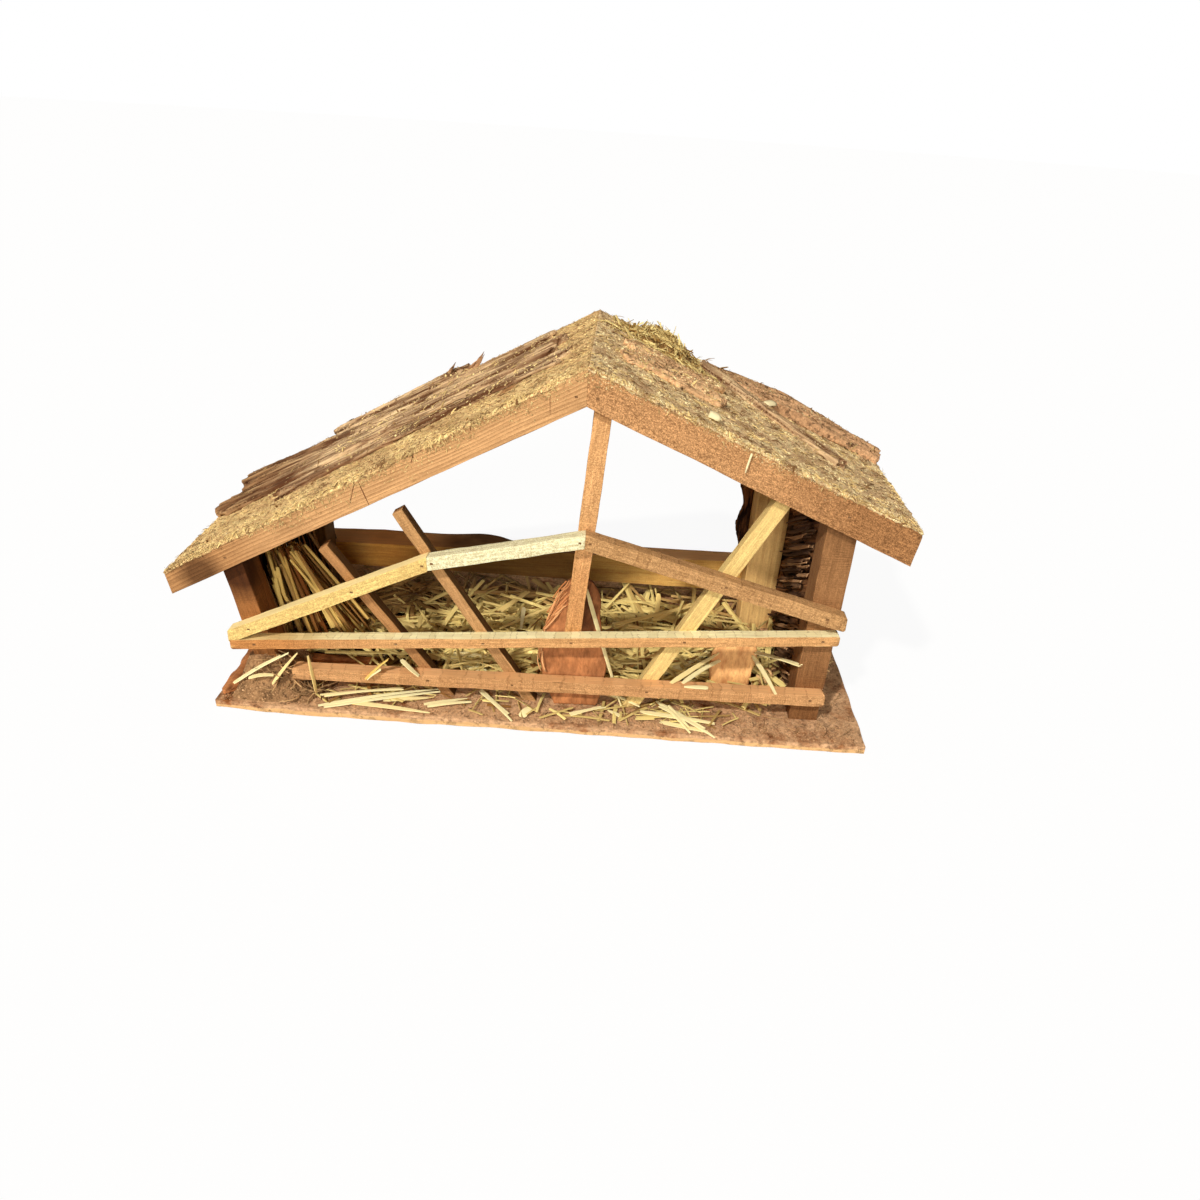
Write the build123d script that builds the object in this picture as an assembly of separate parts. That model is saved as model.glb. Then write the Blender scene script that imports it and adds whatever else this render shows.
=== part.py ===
from build123d import *
from math import atan, cos, degrees, hypot, pi, radians, sin, tan
import os

# A rustic wooden nativity stable: a nailed frame on a plywood base, clad and roofed with bark.
# Millimetres, +Z up, and the open front faces -Y. The origin lies under the middle of the base.
# Heights of the house are measured from the top of the base, depths from its front edge.

# Base board
base_width = 325.0
base_depth = 155.0
base_thickness = 4.5

# Gable: reach from the middle of the base and height of the boards' lower edges
left_eave_reach = 179.5
left_eave_height = 52.5
ridge_offset = 15.0
ridge_height = 158.0
right_eave_reach = 166.0
right_eave_height = 94.0

# Gable boards: upright height of the board at the eaves and at the ridge
left_eave_board_height = 12.2
ridge_board_height = 16.8
right_eave_board_height = 17.2
eave_end_lean = 2.0
gable_corner_radius = 4.0
gable_thickness = 5.5
gable_setback = 11.6
roof_depth = 116.0

# Roof panels and ridge beam
panel_thickness = 5.0
eave_inset = 1.5
beam_width = 18.0
beam_drop = 1.5

# Posts
front_left_post_width = 11.2
front_left_post_foot = 143.7
front_left_post_lean = 10.3
front_right_post_width = 14.4
front_right_post_reach = 141.0
front_post_depth = 16.0
rear_left_post_width = 12.0
rear_left_post_reach = 148.0
rear_right_post_width = 18.8
rear_right_post_reach = 128.2
rear_post_depth = 16.0
king_post_width = 8.0
king_post_depth = 7.0
king_post_foot = 13.2
king_post_lean = 4.5

# Fence rails: heights of the centre lines at their ends
rail_depth = 6.5
rail_corner_radius = 1.2
mid_rail_height = 5.3
mid_rail_left_reach = 155.0
mid_rail_left_level = 26.3
mid_rail_right_reach = 141.5
mid_rail_right_level = 52.2
lower_rail_height = 6.5
lower_rail_left_reach = 126.0
lower_rail_left_level = 11.4
lower_rail_right_reach = 141.0
lower_rail_right_level = 16.8

# Fence arch: three strips, butted on the inner strut and on the king post
arch_height = 6.6
arch_right_height = 7.6
arch_left_reach = 155.5
arch_left_level = 30.8
arch_elbow_level = 78.5
arch_crown_level = 95.4
arch_right_reach = 143.0
arch_right_level = 61.3

# Struts behind the fence, with their feet on the base
strut_depth = 6.2
outer_strut_width = 5.2
outer_strut_foot = -48.7
outer_strut_top_reach = -105.8
outer_strut_top_level = 80.5
inner_strut_width = 5.6
inner_strut_foot = -6.7
inner_strut_top_reach = -69.7
inner_strut_top_level = 101.3
right_strut_width = 7.4
right_strut_foot = 44.5
right_strut_lean = 27.1

# Back rail: level underside, top that rises to the right, live back edge
back_rail_depth = 20.0
back_rail_left_reach = 150.0
back_rail_right_reach = 131.0
back_rail_low_level = 16.0
back_rail_top_level = 30.3
back_rail_rise = 5.5

# Bark: thickness of the slabs, and how the crown and its ridges are shaped
roof_bark_thickness = 4.2
thick_bark_thickness = 6.2
moss_bark_thickness = 2.6
wall_bark_thickness = 4.2
bark_edge_share = 0.55
bark_ridge_share = 0.16
ridge_flank_shares = (0.22, 0.8)
fissure_swing_share = 0.22
bark_gap = 0.6

# Roof bark, left slope: distance from the ridge, length, front edge and width
left_front_bark_start = 9.0
left_front_bark_length = 170.0
left_front_bark_front = 43.0
left_front_bark_width = 20.0
left_middle_bark_start = 14.0
left_middle_bark_length = 209.0
left_middle_bark_width = 29.0
left_back_bark_start = 22.0
left_back_bark_length = 202.0
left_back_bark_rise = 4.0
left_back_bark_width = 34.0
left_top_bark_start = 72.0
left_top_bark_length = 92.0
left_top_bark_width = 17.0
left_top_bark_thickness = 6.8

# Roof bark, right slope
right_back_bark_start = 62.0
right_back_bark_length = 105.0
right_back_bark_rise = -4.0
right_back_bark_width = 30.0
right_middle_bark_start = 12.0
right_middle_bark_length = 58.0
right_middle_bark_front = 46.0
right_middle_bark_width = 44.0
right_strip_start = 55.0
right_strip_length = 98.0
right_strip_width = 9.5
right_strip_turn = 41.0
right_strip_back = 110.0

# Moss and straw clump by the ridge
clump_length = 36.0
clump_width = 24.0
clump_height = 6.0
clump_start = 17.0

# Wall bark
left_wall_front_share = 0.46
right_wall_lower_share = 0.36
right_wall_middle_share = 0.66
wall_rear_overlap = 13.0
wall_roof_clearance = 0.8

# Rear corner bark, standing on the back rail
rear_bark_overhang = 7.0
rear_bark_thickness = 4.0

# Bark chunks on the floor
chunk_thickness = 4.0
chunk_width = 35.0
chunk_height = 68.0
chunk_middle = 14.5
chunk_front = 15.6
chunk_lean_angle = 15.0
right_chunk_width = 23.0
right_chunk_height = 33.0
right_chunk_middle = 97.5
right_chunk_front = 34.0
right_chunk_lean_angle = 12.0
left_chunk_length = 40.0
left_chunk_width = 14.0
left_chunk_thickness = 7.0
left_chunk_middle = -110.0
left_chunk_front = 26.0
edge_bark_length = 44.0
edge_bark_width = 8.2
edge_bark_thickness = 3.0
edge_bark_front = 4.0

# Straw bed on the floor between the posts
straw_thickness = 5.0
straw_edge_chamfer = 2.5
straw_front = 47.0
straw_side_clearance = 6.0
straw_back_clearance = 4.0

# Brads
brad_width = 1.4
brad_height = 1.0
brad_bite = 5.0
brad_spread = 2.3
base_brad_bite = 12.0
base_brad_recess = 0.3
gable_brad_drop = 3.8

# Cutters reach this far past what they cut
overrun = 5.0

# Levels and planes that several pieces share
floor_level = base_thickness
front_edge = -base_depth / 2
gable_front = front_edge + gable_setback
frame_front = gable_front + gable_thickness
rail_front = frame_front - rail_depth
roof_back = gable_front + roof_depth
frame_back = roof_back - gable_thickness
front_post_back = frame_front + front_post_depth
rear_post_front = frame_back - rear_post_depth


# Points and lines in the upright X-Z plane

def spot(x, height):
    """A point of the upright plane, its height measured from the top of the base."""
    return (x, floor_level + height)


left_eave = spot(-left_eave_reach, left_eave_height)
ridge = spot(ridge_offset, ridge_height)
right_eave = spot(right_eave_reach, right_eave_height)
left_eave_top = (left_eave[0] - eave_end_lean, left_eave[1] + left_eave_board_height)
ridge_top = (ridge[0], ridge[1] + ridge_board_height)
right_eave_top = (right_eave[0] + eave_end_lean, right_eave[1] + right_eave_board_height)


def level_at(line, x):
    """Height of a line at x."""
    (x0, z0), (x1, z1) = line
    return z0 + (z1 - z0) * (x - x0) / (x1 - x0)


def crossing(line, other):
    """Point where two lines cross."""
    (x0, z0), (x1, z1) = line
    (a0, b0), (a1, b1) = other
    run = (x1 - x0, z1 - z0)
    other_run = (a1 - a0, b1 - b0)
    turn = run[0] * other_run[1] - run[1] * other_run[0]
    share = ((a0 - x0) * other_run[1] - (b0 - z0) * other_run[0]) / turn
    return (x0 + share * run[0], z0 + share * run[1])


def slope_angle(line):
    """Angle of a line above the level, in radians."""
    (x0, z0), (x1, z1) = line
    return atan((z1 - z0) / (x1 - x0))


left_top_line = (left_eave_top, ridge_top)
right_top_line = (ridge_top, right_eave_top)


def lowered(line, distance):
    """A line moved square to itself, down by a distance."""
    drop = distance / cos(slope_angle(line))
    return tuple((x, z - drop) for x, z in line)


left_under_line = lowered(left_top_line, panel_thickness)
right_under_line = lowered(right_top_line, panel_thickness)


def roof_under_line(x):
    """The underside of the roof panel above x."""
    return left_under_line if x < ridge_offset else right_under_line


def roof_under(x):
    """Height of the underside of the roof panels at x."""
    return level_at(roof_under_line(x), x)


def prism(points, y_start, y_end, radii=None):
    """A flat piece with an X-Z outline, from one depth to another. Radii round its corners."""
    corners = [(x, y_start, z) for x, z in points]
    outline = Polyline(*corners, close=True)
    if radii:
        outline = FilletPolyline(*corners, radius=radii, close=True)
    return extrude(make_face(outline), amount=y_end - y_start, dir=(0, 1, 0))


def strip_outline(start, end, height):
    """Outline of a strip between two points, its ends cut upright."""
    half = height / 2 / cos(slope_angle((start, end)))
    return [(start[0], start[1] - half), (end[0], end[1] - half),
            (end[0], end[1] + half), (start[0], start[1] + half)]


def pieces(*solids):
    """A group of separate solids."""
    return Compound(children=list(solids))


# Centre lines of the fence and the struts
mid_rail_line = (spot(-mid_rail_left_reach, mid_rail_left_level),
                 spot(mid_rail_right_reach, mid_rail_right_level))
lower_rail_line = (spot(-lower_rail_left_reach, lower_rail_left_level),
                   spot(lower_rail_right_reach, lower_rail_right_level))
outer_strut_line = (spot(outer_strut_foot, 0), spot(outer_strut_top_reach, outer_strut_top_level))
inner_strut_line = (spot(inner_strut_foot, 0), spot(inner_strut_top_reach, inner_strut_top_level))
right_strut_line = (spot(right_strut_foot, 0),
                    spot(right_strut_foot + ridge_height * tan(radians(right_strut_lean)), ridge_height))
king_foot = (king_post_foot, level_at(mid_rail_line, king_post_foot))
king_slope = tan(radians(king_post_lean))
king_line = (king_foot, (king_foot[0] + ridge_height * king_slope, king_foot[1] + ridge_height))
left_post_slope = tan(radians(front_left_post_lean))
left_post_x = front_left_post_width / 2 - front_left_post_foot
left_post_line = (spot(left_post_x, 0), spot(left_post_x - ridge_height * left_post_slope, ridge_height))
right_post_x = front_right_post_reach - front_right_post_width / 2
right_post_line = (spot(right_post_x, 0), spot(right_post_x, ridge_height))
rear_left_post_x = rear_left_post_width / 2 - rear_left_post_reach
rear_right_post_x = rear_right_post_reach - rear_right_post_width / 2

# Corners of the arch: the elbow lies on the inner strut, the crown on the king post
elbow_level_line = (spot(-base_width, arch_elbow_level), spot(base_width, arch_elbow_level))
crown_level_line = (spot(-base_width, arch_crown_level), spot(base_width, arch_crown_level))
arch_elbow = crossing(elbow_level_line, inner_strut_line)
arch_crown = crossing(crown_level_line, king_line)
arch_left_end = spot(-arch_left_reach, arch_left_level)
arch_right_end = spot(arch_right_reach, arch_right_level)
arch_left_lower_line = (arch_left_end, arch_elbow)
arch_left_upper_line = (arch_elbow, arch_crown)
arch_right_line = (arch_crown, arch_right_end)


# Brads

def brad(place, y_start, length):
    """A flat brad driven level along Y at a place of the upright plane."""
    body = Box(brad_width, length, brad_height, align=(Align.CENTER, Align.MIN, Align.CENTER))
    return Pos(place[0], y_start, place[1]) * body


def along(line, place, distance):
    """The point of a line that lies a level distance beyond a place."""
    return (place[0] + distance, level_at(line, place[0] + distance))


def rail_brad_places():
    """Where the fence strips are nailed to what stands behind them."""
    places = []
    places.append(crossing(mid_rail_line, left_post_line))
    for upright in (outer_strut_line, inner_strut_line, right_strut_line, right_post_line):
        places.append(crossing(mid_rail_line, upright))
        places.append(crossing(lower_rail_line, upright))
    places.append(king_foot)
    places.append(crossing(arch_left_lower_line, left_post_line))
    places.append(crossing(arch_left_lower_line, outer_strut_line))
    places.append(along(arch_left_lower_line, arch_elbow, -brad_spread))
    places.append(along(arch_left_upper_line, arch_elbow, brad_spread))
    places.append(along(arch_left_upper_line, arch_crown, -brad_spread))
    places.append(along(arch_right_line, arch_crown, brad_spread))
    places.append(crossing(arch_right_line, right_strut_line))
    places.append(crossing(arch_right_line, right_post_line))
    return places


def make_rail_brads():
    return [brad(place, rail_front, rail_depth + brad_bite) for place in rail_brad_places()]


def gable_brad_places(left_upright, right_upright):
    """Where a pair of gable boards is nailed to two posts and to the ridge beam."""
    left_line = (left_eave, ridge)
    right_line = (ridge, right_eave)
    left_x, left_z = crossing(left_line, left_upright)
    right_x, right_z = crossing(right_line, right_upright)
    beam_z = ridge[1] + gable_brad_drop
    return [(left_x, left_z + left_eave_board_height / 2), (ridge_offset - beam_width / 4, beam_z),
            (ridge_offset + beam_width / 4, beam_z), (right_x, right_z + right_eave_board_height / 2)]


def make_gable_brads():
    length = gable_thickness + brad_bite
    front_places = gable_brad_places(left_post_line, right_post_line)
    rear_lines = [(spot(x, 0), spot(x, ridge_height)) for x in (rear_left_post_x, rear_right_post_x)]
    front = [brad(place, gable_front, length) for place in front_places]
    rear = [brad(place, roof_back - length, length) for place in gable_brad_places(*rear_lines)]
    return front + rear


def make_base_brads():
    """Upright brads through the base into the foot of each post, their heads a little recessed."""
    length = base_thickness - base_brad_recess + base_brad_bite
    body = Box(brad_width, brad_height, length, align=(Align.CENTER, Align.CENTER, Align.MIN))
    front_y = frame_front + front_post_depth * 2 / 3
    rear_y = rear_post_front + rear_post_depth / 2
    places = [(left_post_x, front_y), (right_post_x, front_y),
              (rear_left_post_x, rear_y), (rear_right_post_x, rear_y)]
    return [Pos(x, y, base_brad_recess) * body for x, y in places]


rail_brads = make_rail_brads()
gable_brads = make_gable_brads()
base_brads = make_base_brads()


# Base and posts

def base_board():
    board = Box(base_width, base_depth, base_thickness, align=(Align.CENTER, Align.CENTER, Align.MIN))
    return board - base_brads - nail_heads()


def nail_heads():
    """The short clearance below the heads of the base brads."""
    pocket = Box(brad_width, brad_height, base_brad_recess, align=(Align.CENTER, Align.CENTER, Align.MIN))
    return [Pos(nail.center().X, nail.center().Y, 0) * pocket for nail in base_brads]


def post(left, right, lean_slope, y_start, depth):
    """A post from the base to the underside of the roof, leaning along X by a slope."""
    feet = [spot(left, 0), spot(right, 0)]
    tops = []
    for x, z in feet:
        side = ((x, z), (x - lean_slope * ridge_height, z + ridge_height))
        tops.append(crossing(side, roof_under_line(x)))
    return prism(feet + tops[::-1], y_start, y_start + depth)


def front_left_post():
    left = -front_left_post_foot
    body = post(left, left + front_left_post_width, left_post_slope, frame_front, front_post_depth)
    return body - rail_brads - gable_brads - base_brads


def front_right_post():
    right = front_right_post_reach
    body = post(right - front_right_post_width, right, 0, frame_front, front_post_depth)
    return body - rail_brads - gable_brads - base_brads


def rear_left_post():
    left = -rear_left_post_reach
    body = post(left, left + rear_left_post_width, 0, rear_post_front, rear_post_depth)
    return body - gable_brads - base_brads


def rear_right_post():
    right = rear_right_post_reach
    body = post(right - rear_right_post_width, right, 0, rear_post_front, rear_post_depth)
    return body - gable_brads - base_brads


# Gable boards, ridge beam and roof panels

def left_gable_board(y_start):
    outline = [left_eave, ridge, ridge_top, left_eave_top]
    return prism(outline, y_start, y_start + gable_thickness) - gable_brads


def right_gable_board(y_start):
    outline = [ridge, right_eave, right_eave_top, ridge_top]
    radii = [0, 0, gable_corner_radius, 0]
    return prism(outline, y_start, y_start + gable_thickness, radii) - gable_brads


beam_left = ridge_offset - beam_width / 2
beam_right = ridge_offset + beam_width / 2
beam_level = ridge[1] - beam_drop


def ridge_beam():
    """The beam fills the corner under the two panels and carries both ends of the gable boards."""
    peak = min(left_under_line[1][1], right_under_line[0][1])
    outline = [(beam_left, beam_level), (beam_right, beam_level), (beam_right, roof_under(beam_right)),
               (ridge_offset, peak), (beam_left, roof_under(beam_left))]
    return prism(outline, frame_front, frame_back) - gable_brads


def left_roof_panel():
    end = left_eave_top[0] + eave_inset
    outline = [(end, roof_under(end)), left_under_line[1], ridge_top, (end, level_at(left_top_line, end))]
    return prism(outline, frame_front, frame_back)


def right_roof_panel():
    end = right_eave_top[0] - eave_inset - gable_corner_radius
    outline = [right_under_line[0], (end, roof_under(end)), (end, level_at(right_top_line, end)), ridge_top]
    return prism(outline, frame_front, frame_back)


# Bark slabs

def bark_profile(width, thickness, ridges, rise):
    """Cross-section of a slab: a flat back, and a crown of flat-topped ridges parted by fissures."""
    def crown(y):
        return thickness * (bark_edge_share + (1 - bark_edge_share) * sin(pi * y / width)) - rise

    step = width / ridges
    inner_fissures = [(i + fissure_swing_share * sin(3 * i)) * step for i in range(1, ridges)]
    fissures = [0] + inner_fissures + [width]
    points = [(0, width, -overrun - 2 * abs(rise)), (0, 0, -overrun - 2 * abs(rise)), (0, 0, crown(0))]
    for start, end in zip(fissures, fissures[1:]):
        for share in ridge_flank_shares:
            y = start + share * (end - start)
            points.append((0, y, crown(y) + bark_ridge_share * step))
        points.append((0, end, crown(end)))
    return make_face(Polyline(*points, close=True))


def bark_slab(length, width, thickness, ridges, near_end_shares, far_end_shares, side_shares=(0, 0), rise=0):
    """A slab lying flat from the origin along X: a flat back under a crown of lengthwise ridges.

    The end shares give how far each broken end is split back, across the width, as shares of the
    length. The side shares give how far the two long sides swing in, along the length, as shares of
    the width. The crown climbs by the rise from the near end to the far end.
    """
    profile = bark_profile(width, thickness, ridges, rise)
    body = extrude(profile, amount=length + overrun, dir=(1, 0, rise / length))
    last = len(near_end_shares) - 1
    outline = [(share * length, i / last * width) for i, share in enumerate(near_end_shares)]
    inner = len(side_shares) + 1
    outline += [((i + 1) / inner * length, width * (1 - share)) for i, share in enumerate(side_shares)]
    last = len(far_end_shares) - 1
    far_end = reversed(far_end_shares)
    outline += [((1 - share) * length, (1 - i / last) * width) for i, share in enumerate(far_end)]
    outline += [((1 - (i + 1) / inner) * length, width * share) for i, share in enumerate(side_shares)]
    cutter = extrude(make_face(Polyline(*outline, close=True)), amount=2 * (thickness + abs(rise)))
    return body & cutter


def left_slope(start, y_front, width):
    """Frame of a slab on the left slope: X runs down the slope, Y towards the front."""
    angle = slope_angle(left_top_line)
    origin = (ridge_top[0] - start * cos(angle), y_front + width, ridge_top[1] - start * sin(angle))
    return Plane(origin, x_dir=(-cos(angle), 0, -sin(angle)), z_dir=(-sin(angle), 0, cos(angle)))


def right_slope(start, y_front):
    """Frame of a slab on the right slope: X runs down the slope, Y towards the back."""
    angle = -slope_angle(right_top_line)
    origin = (ridge_top[0] + start * cos(angle), y_front, ridge_top[1] - start * sin(angle))
    return Plane(origin, x_dir=(cos(angle), 0, -sin(angle)), z_dir=(sin(angle), 0, cos(angle)))


left_front_bark_edge = front_edge + left_front_bark_front
left_middle_bark_edge = left_front_bark_edge + left_front_bark_width + bark_gap
left_back_bark_edge = left_middle_bark_edge + left_middle_bark_width + bark_gap
right_back_bark_edge = frame_back - right_back_bark_width + bark_gap


def left_roof_bark_front():
    near_end_shares = (0, 0.04, 0.01, 0.07, 0.03)
    far_end_shares = (0.16, 0.05, 0, 0.1, 0.02)
    side_shares = (0.16, 0.05, 0.2)
    slab = bark_slab(left_front_bark_length, left_front_bark_width, moss_bark_thickness, 4,
                     near_end_shares, far_end_shares, side_shares)
    return left_slope(left_front_bark_start, left_front_bark_edge, left_front_bark_width) * slab


def left_roof_bark_middle():
    near_end_shares = (0.03, 0, 0.06, 0.02, 0.05)
    far_end_shares = (0.09, 0.03, 0.01, 0, 0.05)
    side_shares = (0.04, 0.1, 0.02)
    slab = bark_slab(left_middle_bark_length, left_middle_bark_width, roof_bark_thickness, 5,
                     near_end_shares, far_end_shares, side_shares)
    return left_slope(left_middle_bark_start, left_middle_bark_edge, left_middle_bark_width) * slab


def left_roof_bark_back():
    """The thickest slab, thin at the ridge and broken off thick at the eave."""
    near_end_shares = (0.02, 0.06, 0, 0.05, 0.01, 0.08)
    far_end_shares = (0.02, 0, 0.02, 0.01, 0.05, 0.03)
    side_shares = (0.02, 0.08, 0.03)
    slab = bark_slab(left_back_bark_length, left_back_bark_width, thick_bark_thickness, 6,
                     near_end_shares, far_end_shares, side_shares, left_back_bark_rise)
    return left_slope(left_back_bark_start, left_back_bark_edge, left_back_bark_width) * slab


def left_roof_bark_top():
    """A splintered piece lying on the back slab, its upper end split into spikes."""
    near_end_shares = (0.3, 0, 0.26, 0.08, 0.34, 0.16)
    far_end_shares = (0.12, 0, 0.16, 0.05)
    side_shares = (0.1, 0.04)
    y_front = left_back_bark_edge + left_back_bark_width - left_top_bark_width
    slab = bark_slab(left_top_bark_length, left_top_bark_width, left_top_bark_thickness, 3,
                     near_end_shares, far_end_shares, side_shares)
    return left_slope(left_top_bark_start, y_front, left_top_bark_width) * slab - left_roof_bark_back()


def right_strip_place():
    """Frame of the narrow strip that slants across the right slope."""
    return right_slope(right_strip_start, front_edge + right_strip_back) * Rot(0, 0, -right_strip_turn)


def right_roof_bark_strip():
    near_end_shares = (0.05, 0, 0.03)
    far_end_shares = (0.02, 0.04, 0, 0.05)
    side_shares = (0.1, 0.02)
    slab = bark_slab(right_strip_length, right_strip_width, roof_bark_thickness, 3,
                     near_end_shares, far_end_shares, side_shares)
    return right_strip_place() * slab


def strip_room():
    """The room of the slanting strip, a little wider than the strip itself."""
    room = Box(right_strip_length + overrun, right_strip_width + 2 * bark_gap, thick_bark_thickness * 4,
               align=(Align.MIN, Align.MIN, Align.CENTER))
    return right_strip_place() * Pos(-overrun / 2, -bark_gap, 0) * room


def right_roof_bark_back():
    near_end_shares = (0.28, 0.16, 0.1, 0.02, 0)
    far_end_shares = (0.04, 0.01, 0, 0.02, 0.05)
    side_shares = (0.02, 0.06)
    slab = bark_slab(right_back_bark_length, right_back_bark_width, roof_bark_thickness, 5,
                     near_end_shares, far_end_shares, side_shares, right_back_bark_rise)
    return right_slope(right_back_bark_start, right_back_bark_edge) * slab - strip_room()


def right_roof_bark_middle():
    near_end_shares = (0.1, 0, 0.14, 0.04, 0.12)
    far_end_shares = (0.1, 0.02, 0.2, 0, 0.12)
    side_shares = (0.03, 0.08)
    slab = bark_slab(right_middle_bark_length, right_middle_bark_width, moss_bark_thickness, 6,
                     near_end_shares, far_end_shares, side_shares)
    return right_slope(right_middle_bark_start, front_edge + right_middle_bark_front) * slab - strip_room()


def ridge_moss_clump():
    """A low dome of moss and straw on the right slope, close to the ridge."""
    half = clump_length / 2
    arc = ThreePointArc((-half, 0, 0), (0, 0, clump_height), (half, 0, 0))
    ridge_face = make_face([arc, Line((half, 0, 0), (-half, 0, 0))])
    rounded = extrude(ridge_face, amount=clump_width, dir=(0, 1, 0))
    plan = Pos(0, clump_width / 2, 0) * Ellipse(half, clump_width / 2)
    dome = rounded & extrude(plan, amount=clump_height)
    return right_slope(clump_start + half, frame_back - clump_width) * dome - strip_room()


# Bark walls

def under_roof(y_start, y_end):
    """All the room below the left roof panel between two depths, for trimming the wall bark."""
    trim_line = lowered(left_under_line, wall_roof_clearance)
    far = -left_eave_reach - overrun
    outline = [(far, floor_level), (0, floor_level),
               (0, level_at(trim_line, 0)), (far, level_at(trim_line, far))]
    return prism(outline, y_start, y_end)


wall_start = front_post_back
wall_end = rear_post_front + wall_rear_overlap
wall_length = wall_end - wall_start
left_wall_x = -rear_left_post_reach
right_wall_x = rear_right_post_reach
left_wall_height = roof_under(left_wall_x) - floor_level
right_wall_height = roof_under(right_wall_x + wall_bark_thickness) - floor_level - wall_roof_clearance


def left_wall_plane(y):
    """Frame of upright bark on the left wall: X runs up, Y towards the back, the crown faces outwards."""
    return Plane((left_wall_x, y, floor_level), x_dir=(0, 0, 1), z_dir=(-1, 0, 0))


def left_wall_bark_front():
    foot_shares = (0, 0, 0)
    top_shares = (0.02, 0.06, 0, 0.05, 0.01)
    side_shares = (0.02, 0.03)
    width = left_wall_front_share * wall_length
    slab = bark_slab(left_wall_height, width, wall_bark_thickness, 5, foot_shares, top_shares, side_shares)
    return left_wall_plane(wall_start) * slab & under_roof(wall_start, wall_end)


def left_wall_bark_rear():
    foot_shares = (0, 0, 0)
    top_shares = (0.01, 0.05, 0.02, 0.07, 0)
    side_shares = (0.03, 0.02)
    width = (1 - left_wall_front_share) * wall_length - bark_gap
    slab = bark_slab(left_wall_height, width, wall_bark_thickness, 6, foot_shares, top_shares, side_shares)
    return left_wall_plane(wall_end - width) * slab & under_roof(wall_start, wall_end)


def right_wall_slab(low, high, ridges, rear_end_shares, side_shares):
    """A slab of the right wall between two heights, with level fibres and its crown outwards."""
    front_end_shares = (0, 0, 0)
    slab = bark_slab(wall_length, high - low, wall_bark_thickness, ridges,
                     front_end_shares, rear_end_shares, side_shares)
    plane = Plane((right_wall_x, wall_start, floor_level + low), x_dir=(0, 1, 0), z_dir=(1, 0, 0))
    return plane * slab


right_wall_lower_top = right_wall_lower_share * right_wall_height
right_wall_middle_top = right_wall_middle_share * right_wall_height


def right_wall_bark_lower():
    rear_end_shares = (0.03, 0, 0.06, 0.01)
    side_shares = (0, 0)
    return right_wall_slab(0, right_wall_lower_top, 5, rear_end_shares, side_shares)


def right_wall_bark_middle():
    rear_end_shares = (0.02, 0.07, 0, 0.04)
    side_shares = (0.02, 0.01)
    low = right_wall_lower_top + bark_gap
    return right_wall_slab(low, right_wall_middle_top, 4, rear_end_shares, side_shares)


def right_wall_bark_upper():
    rear_end_shares = (0, 0.04, 0.01, 0.06)
    side_shares = (0.01, 0)
    low = right_wall_middle_top + bark_gap
    return right_wall_slab(low, right_wall_height, 4, rear_end_shares, side_shares)


# Back rail and rear corner bark

back_rail_line = (spot(-back_rail_left_reach, back_rail_top_level),
                  spot(back_rail_right_reach, back_rail_top_level + back_rail_rise))


def back_rail():
    """A tapered board behind the rear posts, its live back edge stepped, with a worn notch."""
    (left, left_top), (right, right_top) = back_rail_line
    low = floor_level + back_rail_low_level
    back_edge_shares = ((0, 0.92), (0.15, 1), (0.3, 0.96), (0.395, 0.95), (0.425, 0.72), (0.47, 0.64),
                        (0.505, 0.22), (0.54, 0.22), (0.575, 0.62), (0.7, 0.74), (0.85, 0.68), (1, 0.7))
    back = Spline(*[(left + along_share * (right - left), frame_back + depth_share * back_rail_depth, low)
                    for along_share, depth_share in back_edge_shares])
    start, end = (left, frame_back, low), (right, frame_back, low)
    outline = [back, Line(back @ 1, end), Line(end, start), Line(start, back @ 0)]
    board = extrude(make_face(outline), amount=right_top - low, dir=(0, 0, 1))
    reaches = (left - overrun, right + overrun)
    above = [(x, level_at(back_rail_line, x)) for x in reaches]
    above += [(x, right_top + overrun) for x in reversed(reaches)]
    return board - prism(above, frame_back - overrun, frame_back + back_rail_depth + overrun)


def rear_corner_bark(inner, outer, edge_shares):
    """Upright bark on the back of a rear post, from the back rail to the rear gable board."""
    reaches = (inner, outer)
    low = max(level_at(back_rail_line, x) for x in reaches) + bark_gap
    high = min(board_under(x) for x in reaches) - wall_roof_clearance
    steps = len(edge_shares) - 1
    wavy = [(inner + share * (outer - inner), low + i / steps * (high - low))
            for i, share in enumerate(edge_shares)]
    edge = Spline(*[(x, frame_back, z) for x, z in wavy])
    corners = [wavy[-1], (outer, high), (outer, low), wavy[0]]
    sides = Polyline(*[(x, frame_back, z) for x, z in corners])
    return extrude(make_face([edge, sides]), amount=rear_bark_thickness, dir=(0, 1, 0))


def board_under(x):
    """Height of the lower edge of the gable boards at x."""
    return level_at((left_eave, ridge) if x < ridge_offset else (ridge, right_eave), x)


def rear_right_bark():
    edge_shares = (0.02, 0.08, -0.02, 0.1, 0, 0.04, 0.02)
    inner = rear_right_post_reach - rear_right_post_width - rear_bark_overhang
    return rear_corner_bark(inner, rear_right_post_reach, edge_shares)


def rear_left_bark():
    edge_shares = (0, 0.12, 0.02, 0.1)
    inner = -rear_left_post_reach + rear_left_post_width
    return rear_corner_bark(inner, -rear_left_post_reach, edge_shares)


# Fence, struts and king post

def mid_rail():
    outline = strip_outline(*mid_rail_line, mid_rail_height)
    return prism(outline, rail_front, frame_front, rail_corner_radius) - rail_brads


def lower_rail():
    outline = strip_outline(*lower_rail_line, lower_rail_height)
    return prism(outline, rail_front, frame_front, rail_corner_radius) - rail_brads


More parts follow.
